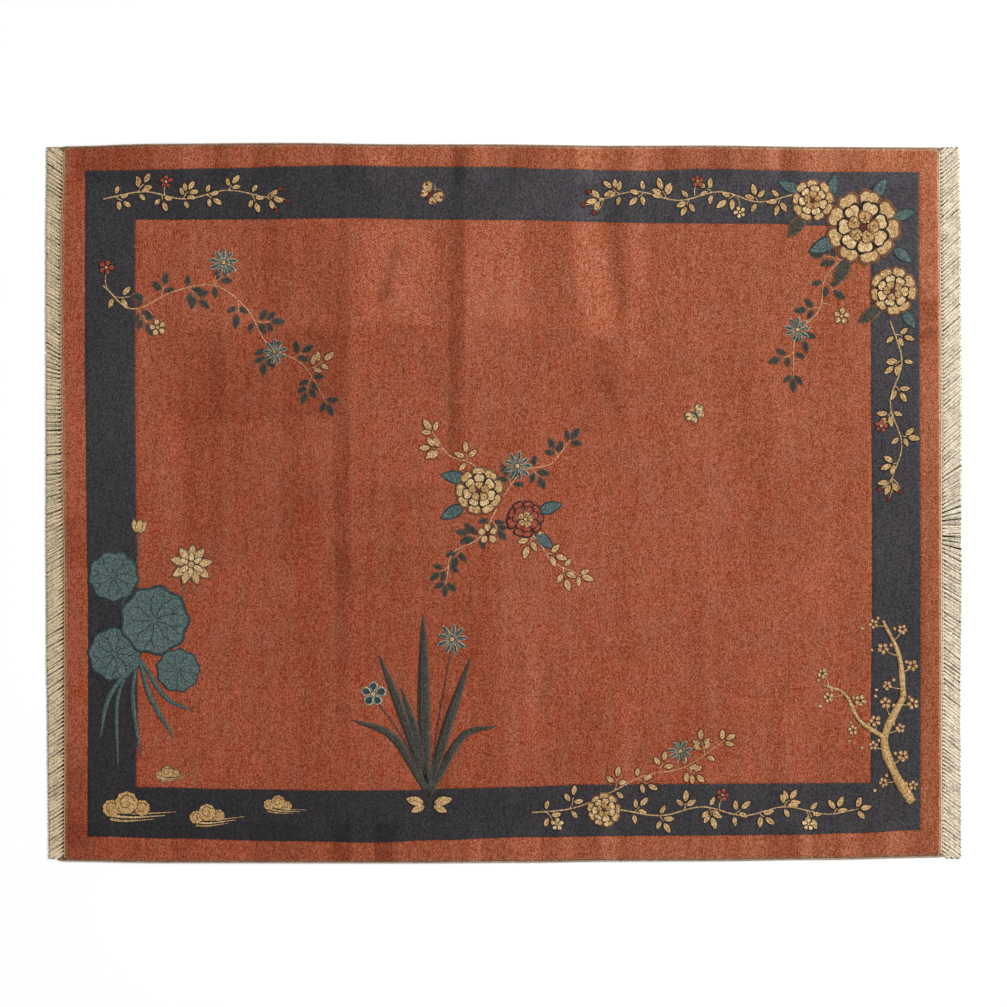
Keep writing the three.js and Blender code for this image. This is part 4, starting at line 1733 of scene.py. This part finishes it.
    def aster(self, at: Point, radius: float, turn: float) -> None:
        """Adds a dark blossom of nine rays, with a light line down each ray."""
        self.ring(Shape.RAY, at, 9, radius * 0.10, radius * 0.90, turn, MIST_BLOOM, 1)
        for i in range(9):
            route = self.ray(at, turn + 40 * i, radius * 0.22, radius * 0.74)
            self.vein(route, radius * 0.04, MIST_BLOOM.vein, 3.0)
        self.stamp(Shape.DISC, at, radius * 0.40, 0, GOLD_EYE, 3.4)

    def peony(self, at: Point, radius: float, palettes: Sequence[Palette], turn: float) -> None:
        """Adds a full blossom of three rings of veined petals.

        Args:
            at: Its middle.
            radius: Its outer radius.
            palettes: Yarns of the outer, middle and inner ring and of the eye.
            turn: Degrees that it is turned.
        """
        outer, middle, inner, eye = palettes
        rings = ((9, 0.34, 0.66, 0, outer), (7, 0.16, 0.56, 21, middle), (5, 0.03, 0.42, 8, inner))
        for order, (count, start, length, offset, yarns) in enumerate(rings):
            level = 1 + order * 2.1
            self.ring(Shape.PETAL, at, count, radius * start, radius * length, turn + offset, yarns, level)
            for i in range(count):
                for lean in (-13, 0, 13) if radius > 0.1 else (0,):
                    angle = turn + offset + 360 * i / count
                    begin = self.ahead(at, angle, radius * (start + length * 0.34))
                    route = self.ray(begin, angle + lean, 0.0, radius * length * (0.44 - abs(lean) * 0.006))
                    self.vein(route, radius * 0.017, yarns.vein, level + 2.1)
        self.stamp(Shape.DISC, at, radius * 0.22, 0, eye, 8)
        for i in range(7):
            self.stamp(Shape.DISC, self.ahead(at, i * 51, radius * 0.19), radius * 0.10, 0, GOLD_EYE, 7.6)

    def pad(self, at: Point, radius: float, turn: float, palette: Palette, level: float) -> None:
        """Adds a round lotus leaf with forking ribs.

        Args:
            at: Its middle.
            radius: Its radius.
            turn: Degrees that it is turned.
            palette: Its yarns.
            level: Its level.
        """
        self.stamp(Shape.PAD, at, radius * 2, turn, palette, level)
        for i in range(9):
            angle = turn + 20 + 40 * i
            start, fork = self.ray(at, angle, radius * 0.1, radius * 0.56)
            bend = self.ahead(at, angle + 5, radius * 0.3)
            self.vein([start, bend, fork], radius * 0.045, palette.vein, level + 1.6)
            for lean in (-11, 11):
                end = self.ahead(at, angle + lean, radius * 0.84)
                self.vein([fork, end], radius * 0.03, palette.vein, level + 1.6)
        self.stamp(Shape.DISC, at, radius * 0.2, 0, palette, level + 2)

    def cloud(self, at: Point, size: float, turn: float, palette: Palette) -> None:
        """Adds a drifting cloud: three curled heads over a tail of tapering bands."""
        for k, reach in enumerate((2.7, 2.1, 1.5)):
            start = self.ahead(self.ahead(at, turn - 90, size * (0.20 + 0.20 * k)), turn, -size * 0.9)
            middle = self.ahead(self.ahead(start, turn, size * reach * 0.55), turn - 90, size * 0.10)
            end = self.ahead(start, turn, size * (0.9 + reach))
            self.line([start, middle, end], size * 0.24, palette.outline, 0.0, 0.3)
            self.line([start, middle, end], size * 0.16, palette.rim if k % 2 else palette.fill, 0.9, 0.2)
        heads = ((-0.84, 0.0, 0.50), (0.84, 0.02, 0.46), (0.0, 0.30, 0.66))
        for order, (offset, rise, head) in enumerate(heads):
            centre = self.ahead(self.ahead(at, turn, size * offset), turn + 90, size * rise)
            self.stamp(Shape.PAD, centre, size * head * 2, turn + order * 25, palette, 1.6 + order * 0.5)
            curl = [self.ahead(centre, turn + 30 + 66 * k, size * head * (0.76 - 0.10 * k)) for k in range(7)]
            self.line(curl, size * head * 0.13, palette.vein, 3.4 + order * 0.5, 0.5)

    def butterfly(self, at: Point, size: float, turn: float, palette: Palette, spot: Palette) -> None:
        """Adds a butterfly with spread wings.

        Args:
            at: Its middle.
            size: Length of a front wing.
            turn: The direction that it faces.
            palette: Yarns of its wings.
            spot: Yarns of its body and of the spots on its wings.
        """
        for side in (-1, 1):
            rear, front = turn + side * 122, turn + side * 62
            self.stamp(Shape.PETAL, self.ahead(at, rear, size * 0.06), size * 0.72, rear, palette, 1)
            self.stamp(Shape.PETAL, self.ahead(at, front, size * 0.06), size, front, palette, 1.8)
            self.stamp(Shape.DISC, self.ahead(at, front, size * 0.74), size * 0.24, 0, spot, 3.6)
            self.stamp(Shape.DISC, self.ahead(at, rear, size * 0.54), size * 0.17, 0, spot, 2.9)
            for lean in (-14, 10):
                route = [self.ahead(at, front, size * 0.2), self.ahead(at, front + lean, size * 0.62)]
                self.vein(route, size * 0.03, palette.vein, 3.6)
            head = self.ahead(at, turn, size * 0.3)
            bend = self.ahead(head, turn + side * 16, size * 0.3)
            tip = self.ahead(head, turn + side * 34, size * 0.55)
            self.line([head, bend, tip], 2.4 * MM, palette.rim, 0.5, 0.7, fine=True)
        self.stamp(Shape.RAY, self.ahead(at, turn + 180, size * 0.5), size * 0.95, turn, spot, 4.4)

    def blade(self, points: Route, width: float, palette: Palette, level: float = 0.0) -> None:
        """Adds a long leaf that bends along a route."""
        stock = self.kit.stem
        x = stock.points[:, 0]
        path = smooth_path(points, 10)
        cords = ((1.0, palette.outline, 0.0), (0.74, palette.rim, 0.9), (0.1, palette.vein, 1.5))
        for share, yarn, lift in cords:
            radius = width / 2 * share * np.sin(np.pi * np.clip(x * 0.9 + 0.08, 0, 1)) ** 0.75
            self._lay(stock, path, radius, yarn, level + lift)

    def blades(self, root: Point, bend_y: float, palette: Palette, *rows: tuple[float, ...]) -> None:
        """Adds blades from one root, each by its tip, the x of its bend and its width in millimetres."""
        for tip_x, tip_y, bend_x, width in rows:
            self.blade([root, (bend_x, bend_y), (tip_x, tip_y)], width * MM, palette)

    def bough(self, points: Route, width: float, taper: float) -> None:
        """Adds a thick gold bough with a dark edge and a light streak."""
        self.line(points, width + 5 * MM, Yarn.UMBER, 0.0, taper, knobs=0.10)
        self.line(points, width, Yarn.GOLD, 0.9, taper, knobs=0.10)
        self.line(points, width * 0.36, Yarn.SAND, 1.7, taper, knobs=0.3)

    def blossoming(self, points: Route, pitch: float, petals: Palette) -> None:
        """Adds twigs with small blossoms and buds along a bough's route."""
        path = smooth_path(points, 12)
        count = round(path_length(path) / pitch)
        for i in range(count):
            start, straight = place_along(path, (i + 0.6) / count)
            side = 1 if i % 2 else -1
            turn = straight + side * self.chance.uniform(48, 82)
            reach = self.chance.uniform(0.036, 0.062)
            bend, end = self.ahead(start, turn + side * 8, reach / 2), self.ahead(start, turn, reach)
            self.line([start, bend, end], 3.8 * MM, Yarn.SAND, 0.4, 0.8, fine=True)
            self.blossom(end, self.chance.uniform(0.017, 0.022), petals, self.chance.uniform(0, 72), BERRY)
            bud = self.ahead(self.ahead(start, turn, reach * 0.55), turn - side * 70, 0.016)
            self.stamp(Shape.ROUND, bud, 0.015, turn - side * 70, petals, 1)
            if i % 2:
                bud = self.ahead(end, turn + side * 40, 0.034)
                self.stamp(Shape.ROUND, bud, 0.014, turn, petals, 1)

    def finish(self, wools: dict[Yarn, Material]) -> Piece:
        """Lays the group on the rug and makes it one piece, in the wools of its yarns."""
        for i, points in enumerate(self.heap.points):
            points[:, 2] += self.lie.top(points[:, 0], points[:, 1])
            # The motifs take the pile's painted shade as their tone
            self.heap.tones[i] = pile_shade(points[:, 0], points[:, 1])
        return self.heap.build(self.name, [wools[yarn] for yarn in self.yarns])


class Design:
    """The rug's own arrangement of flowers, leaves, clouds and butterflies."""

    def __init__(self, lie: Lie, kit: Kit) -> None:
        """Keeps what every group needs."""
        self.lie = lie
        self.kit = kit

    def groups(self) -> list[Knotwork]:
        """Every group of motifs, in order."""
        makers = (
            self.corner_peonies, self.back_band_spray, self.plum_bough, self.field_spray,
            self.lotus_pond, self.clouds, self.iris_clump, self.front_sprays, self.middle_bouquet,
            self.corner_spray, self.butterflies,
        )
        made = []
        for seed, maker in enumerate(makers):
            group = Knotwork(f"motif_{maker.__name__}", self.kit, self.lie, 40 + seed)
            maker(group)
            made.append(group)
        return made

    def corner_peonies(self, k: Knotwork) -> None:
        """Cream peonies over the band's back right corner."""
        k.broad_leaves(
            (1.26, 1.03, 0.095, 58, TEAL_LEAF), (1.325, 0.97, 0.088, 16, TEAL_LEAF),
            (1.15, 0.9, 0.12, 203, TEAL_LEAF), (1.18, 0.84, 0.115, 244, PINE_LEAF),
            (1.33, 0.87, 0.085, 322, TEAL_LEAF), (1.02, 1.06, 0.09, 158, TEAL_LEAF),
            (1.03, 0.98, 0.1, 232, PINE_LEAF), (1.29, 0.67, 0.1, 216, PINE_LEAF),
            (1.36, 0.66, 0.085, 306, TEAL_LEAF), (1.12, 1.04, 0.085, 82, TEAL_LEAF),
        )
        k.spray([(1.19, 0.86), (1.1, 0.77), (1.08, 0.66), (1.0, 0.57), (0.99, 0.45)], NAVY_LEAF, first=-1)
        k.flower((1.083, 0.685), (1.15, 0.64), (1.155, 0.636), 0.03, SHADED_BLOOM, 12)
        k.aster((1.005, 0.59), 0.046, 6)
        k.peony((1.056, 1.03), 0.078, CREAM_PEONY, 10)
        k.peony((1.33, 0.722), 0.086, CREAM_PEONY, 30)
        k.peony((1.228, 0.938), 0.136, CREAM_PEONY, 0)

    def back_band_spray(self, k: Knotwork) -> None:
        """Cream leaves that run along the back band from the peonies."""
        k.band_spray([(0.99, 1.05), (0.87, 1.025), (0.74, 1.06), (0.6, 1.03), (0.46, 1.06), (0.34, 1.035)])
        k.berries((0.345, 1.036), 196)
        k.flower((0.655, 1.046), (0.662, 1.088), (0.664, 1.096), 0.024, RUST_BLOOM, 20)
        k.flower((0.8, 1.04), (0.806, 0.998), (0.808, 0.99), 0.023, CREAM_BLOOM, 40)

    def plum_bough(self, k: Knotwork) -> None:
        """A gold plum bough that climbs the right band, and a leafy spray above it."""
        route = [(1.395, -1.02), (1.335, -0.92), (1.3, -0.8), (1.365, -0.66), (1.35, -0.52), (1.295, -0.4)]
        k.bough(route[:4], 0.034, 0.72)
        k.bough(route[3:], 0.024, 0.35)
        side_route = [(1.3, -0.8), (1.215, -0.74), (1.165, -0.65), (1.09, -0.62)]
        k.bough(side_route, 0.018, 0.35)
        k.blossoming(route, 0.058, SHADED_BLOOM)
        k.blossoming(side_route, 0.056, SHADED_BLOOM)
        k.band_spray([(1.32, 0.62), (1.36, 0.48), (1.32, 0.34), (1.36, 0.2), (1.325, 0.08)])
        k.flower((1.33, 0.3), (1.296, 0.268), (1.29, 0.262), 0.024, RUST_BLOOM, 8)
        k.berries((1.326, 0.085), 262)

    def field_spray(self, k: Knotwork) -> None:
        """A spray that leaves the left band and winds over the field, cream then dark."""
        k.spray([(-1.36, 0.74), (-1.26, 0.66), (-1.12, 0.72), (-0.98, 0.74), (-0.87, 0.66),
                 (-0.8, 0.54), (-0.68, 0.47), (-0.61, 0.36)], NAVY_LEAF)
        k.stalk((-0.985, 0.738), (-0.955, 0.8))
        k.aster((-0.95, 0.82), 0.05, 6)
        k.aster((-0.775, 0.515), 0.044, 14)
        k.flower((-1.215, 0.665), (-1.18, 0.61), (-1.174, 0.598), 0.031, SHADED_BLOOM, 30)
        k.flower((-1.345, 0.725), (-1.348, 0.79), (-1.349, 0.802), 0.028, RUST_BLOOM, 0)
        k.sprig((-0.665, 0.455), 28, 0.06, 2, 0.048, WARM_LEAF)

    def lotus_pond(self, k: Knotwork) -> None:
        """Lotus leaves over the left band, with a blossom, a bud and reeds."""
        k.line([(-1.2, -0.42), (-1.1, -0.33), (-1.075, -0.22)], 6 * MM, Yarn.TEAL)
        k.line([(-1.3, -0.36), (-1.25, -0.22), (-1.24, -0.1)], 5 * MM, Yarn.TEAL)
        k.blades(
            (-1.24, -0.52), -0.66, TEAL_LEAF, (-1.12, -0.8, -1.2, 19), (-1.05, -0.71, -1.15, 17),
            (-1.37, -0.8, -1.34, 19), (-1.23, -0.87, -1.26, 17), (-1.31, -0.9, -1.31, 15),
        )
        for x, y, radius, turn, level in ((-1.32, -0.515, 0.092, 14, 1), (-1.325, -0.25, 0.086, 30, 1),
                                          (-1.105, -0.57, 0.074, 4, 1), (-1.185, -0.4, 0.118, 0, 3)):
            k.pad((x, y), radius, turn, TEAL_LEAF, level)
        lotus = (-1.06, -0.21)
        k.ring(Shape.LEAF, lotus, 9, 0.012, 0.066, 8, SHADED_BLOOM, 1)
        k.ring(Shape.LEAF, lotus, 6, 0.004, 0.046, 30, CREAM_BLOOM, 2.4)
        k.stamp(Shape.DISC, lotus, 0.028, 0, GOLD_EYE, 4)
        for lean in (-26, 26, 0):
            k.stamp(Shape.LEAF, (-1.24, -0.105), 0.054, 84 + lean, SHADED_BLOOM, 1 + (lean == 0))

    def clouds(self, k: Knotwork) -> None:
        """Gold clouds that drift along the front band's left end."""
        for x, y, size, turn in ((-1.28, -1.04, 0.062, 0), (-1.005, -1.068, 0.046, 4),
                                 (-0.765, -1.03, 0.037, -5), (-1.14, -0.925, 0.031, 8)):
            k.cloud((x, y), size, turn, GOLD_CLOUD)

    def iris_clump(self, k: Knotwork) -> None:
        """Dark iris blades that rise from the front band into the field."""
        k.blades(
            (-0.25, -1.0), -0.8, PINE_LEAF, (-0.42, -0.52, -0.31, 38), (-0.27, -0.38, -0.265, 46),
            (-0.11, -0.53, -0.2, 38), (-0.51, -0.74, -0.37, 32), (-0.02, -0.76, -0.14, 30),
            (-0.345, -0.63, -0.29, 32),
        )
        k.line([(-0.25, -0.98), (-0.22, -0.76), (-0.175, -0.5)], 5 * MM, Yarn.SLATE, 2)
        k.line([(-0.25, -0.98), (-0.34, -0.8), (-0.43, -0.67)], 5 * MM, Yarn.SLATE, 2)
        k.aster((-0.172, -0.465), 0.054, 4)
        k.blossom((-0.44, -0.65), 0.044, MIST_BLOOM, 18)
        for turn, length in ((168, 0.075), (204, 0.06), (12, 0.075), (-24, 0.06)):
            k.leaf(k.ahead((-0.25, -1.025), turn, 0.012), length, turn, CREAM_LEAF)

    def front_sprays(self, k: Knotwork) -> None:
        """Sprays along the front band, one of which climbs a little into the field."""
        k.spray([(0.1, -1.055), (0.24, -1.04), (0.36, -0.99), (0.48, -0.93), (0.62, -0.9), (0.74, -0.82)],
                WARM_LEAF, 0.046, 0.092, 0.04, first=-1, shape=Shape.OVAL)
        k.band_spray([(0.4, -1.045), (0.54, -1.065), (0.68, -1.035), (0.82, -1.065), (0.96, -1.035),
                      (1.1, -1.06), (1.2, -1.045)])
        k.peony((0.345, -1.045), 0.062, CREAM_PEONY, 8)
        k.stalk((0.6, -0.905), (0.602, -0.862))
        k.aster((0.605, -0.845), 0.042, 12)
        k.flower((0.74, -1.05), (0.748, -1.005), (0.75, -0.994), 0.025, RUST_BLOOM, 4)
        k.flower((1.035, -1.048), (1.04, -1.085), (1.042, -1.094), 0.024, CREAM_BLOOM, 14)
        k.flower((0.17, -1.05), (0.182, -1.085), (0.186, -1.094), 0.024, CREAM_BLOOM, 14)

    def middle_bouquet(self, k: Knotwork) -> None:
        """A loose bouquet in the middle of the field."""
        for route, leaves, twig in (
            ([(0.0, 0.02), (0.07, 0.11), (0.16, 0.13), (0.22, 0.2)], NAVY_LEAF, 0.036),
            ([(0.02, -0.02), (0.12, -0.13), (0.17, -0.2), (0.25, -0.24)], WARM_LEAF, 0.034),
            ([(-0.02, -0.02), (-0.08, -0.12), (-0.17, -0.17), (-0.19, -0.26)], NAVY_LEAF, 0.034),
            ([(-0.03, 0.03), (-0.1, 0.13), (-0.18, 0.16), (-0.23, 0.23)], WARM_LEAF, 0.034),
        ):
            k.spray(route, leaves, 0.049, 0.086, twig)
        k.broad_leaves(
            (-0.12, 0.08, 0.095, 170, TEAL_LEAF), (-0.13, -0.01, 0.095, 208, TEAL_LEAF),
            (0.11, -0.1, 0.085, 318, TEAL_LEAF), (0.12, -0.03, 0.09, 18, TEAL_LEAF),
        )
        k.peony((-0.08, 0.04), 0.088, CREAM_PEONY, 14)
        k.peony((0.078, -0.055), 0.068, WINE_PEONY, 0)
        k.aster((0.05, 0.125), 0.052, 0)
        k.blossom((-0.05, -0.105), 0.038, SHADED_BLOOM, 20, BERRY)

    def corner_spray(self, k: Knotwork) -> None:
        """A spray along the back band's left end."""
        k.spray([(-1.36, 1.035), (-1.22, 1.06), (-1.08, 1.035), (-0.94, 1.065), (-0.8, 1.04)],
                WARM_LEAF, 0.042, 0.08, 0.028, first=-1, shape=Shape.OVAL)
        k.flower((-1.15, 1.048), (-1.146, 1.085), (-1.145, 1.094), 0.024, RUST_BLOOM, 16)
        k.berries((-0.805, 1.041), -10)

    def butterflies(self, k: Knotwork) -> None:
        """A butterfly on the back band and one in the field."""
        k.butterfly((-0.245, 1.05), 0.048, 48, SHADED_BLOOM, BERRY)
        k.butterfly((0.66, 0.3), 0.04, 130, SHADED_BLOOM, MIST_BLOOM)


# ---- Studio


@dataclass
class Studio:
    """A white floor, a key light from the right and the back, and a camera straight above."""

    lens: float = 85.0
    sensor: float = 36.0
    view_width: float = 3.435
    view_middle: Point = (3.4 * MM, -2.0 * MM)

    def build(self) -> None:
        """Builds the floor, the lights, the world and the camera."""
        self._floor()
        self._light("key_light", (15.0, 6.5, 12.5), 7.0, 4300)
        self._light("fill_light", (-8.0, -5.0, 10.0), 6.0, 385)
        self._world()
        self._camera()
        settings = bpy.context.scene.view_settings
        settings.view_transform = "Standard"
        settings.look = "None"

    def _floor(self) -> None:
        """Lays a wide white floor just under the rug."""
        deselect_all()
        bpy.ops.mesh.primitive_plane_add(size=60, location=(0, 0, -0.4 * MM))
        floor = bpy.context.object
        floor.name = "studio_floor"
        material, board, shader = new_material("white_floor", (0.9, 0.0, 0.5))
        mottle = board.noise(board.coordinates(), 3.0, 2.0)
        pale = board.mix(mottle, (0.96, 0.96, 0.96, 1.0), (0.98, 0.98, 0.98, 1.0))
        board.feed(shader.inputs["Base Color"], pale)
        floor.data.materials.append(material)

    def _light(self, name: str, place: tuple[float, float, float], size: float, power: float) -> None:
        """Hangs a square soft light that points at the rug's middle."""
        bpy.ops.object.light_add(type="AREA", location=place)
        lamp = bpy.context.object
        lamp.name = name
        lamp.data.size = size
        lamp.data.energy = power
        x, y, z = place
        lamp.rotation_euler = (math.atan2(math.hypot(x, y), z), 0.0, math.atan2(y, x) + math.pi / 2)

    def _world(self) -> None:
        """Gives the room an even pale light."""
        world = bpy.data.worlds.new("studio_world")
        world.use_nodes = True
        background = world.node_tree.nodes["Background"]
        background.inputs["Color"].default_value = (1.0, 1.0, 1.0, 1.0)
        background.inputs["Strength"].default_value = 0.36
        bpy.context.scene.world = world

    def _camera(self) -> None:
        """Hangs the camera above, with the back edge at the top of the frame."""
        height = self.view_width * self.lens / self.sensor
        bpy.ops.object.camera_add(location=(*self.view_middle, height), rotation=(0, 0, 0))
        camera = bpy.context.object
        camera.name = "camera_above"
        camera.data.lens = self.lens
        camera.data.sensor_width = self.sensor
        camera.data.clip_end = 100
        bpy.context.scene.camera = camera


def mount(piece: Piece, slot: str, *nodes: str) -> Piece:
    """Makes a piece ride on the rug and lets it stand for solids.

    Args:
        piece: The finished piece.
        slot: The record's material slot; not used.
        nodes: Solids that it stands for.

    Returns:
        The same piece.
    """
    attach(piece, "root")
    if nodes:
        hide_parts(*nodes)
    piece.data.calc_loop_triangles()
    log.info("%s: %d triangles", piece.name, len(piece.data.loop_triangles))
    return piece


def main() -> None:
    """Builds the rug and its studio."""
    logging.basicConfig(level=logging.INFO, format="%(name)s %(message)s")
    Studio().build()
    groups = Groups()
    lie = Lie()

    ground = GroundFinish().make(groups)
    backing = BackingFinish().make()
    carpet = mount(Carpet(lie).build(ground, backing), "wool_pile", "rug_body")

    overcast = CottonFinish("overcast_yarn", Yarn.OVERCAST, Yarn.DULL_OVERCAST).make(groups)
    for side, name in ((1, "selvedge_back"), (-1, "selvedge_front")):
        piece = Selvedge(lie, side).build(f"overcast_{name}", [overcast], 5 + side)
        mount(piece, "selvedge_cord", name)

    left = Fringe(lie, -1, LEFT_LEAN, LEFT_REACH, 0.92, 0.1, (1.3 * MM, 4.5 * MM), 69)
    right = Fringe(lie, 1, RIGHT_LEAN, RIGHT_REACH, 0.75, 0.7, (2.2 * MM, 4.4 * MM), 71)
    for name, fringe, strand_yarn, heading_yarn in (
        ("fringe_left", left, Yarn.DARKER_COTTON, Yarn.SHADED_HEADING),
        ("fringe_right", right, Yarn.COTTON, Yarn.HEADING),
    ):
        cotton = CottonFinish(f"{name}_cotton", strand_yarn, Yarn.SOIL_AND_SHADE_COTTON).make(groups)
        heading = CottonFinish(f"{name}_web", heading_yarn, Yarn.OVERCAST).make(groups)
        mount(fringe.build_heading(f"{name}_heading", [heading]), "cream_cotton")
        mount(fringe.build_strands(f"{name}_strands", [cotton]), "cream_cotton", name)

    motifs = Design(lie, Kit()).groups()
    used = [yarn for yarn in Yarn if any(yarn in motif.yarns for motif in motifs)]
    wools = {yarn: WoolFinish(yarn).make(groups) for yarn in used}
    for motif in motifs:
        mount(motif.finish(wools), "wool_pile")


if __name__ == "__main__":
    main()
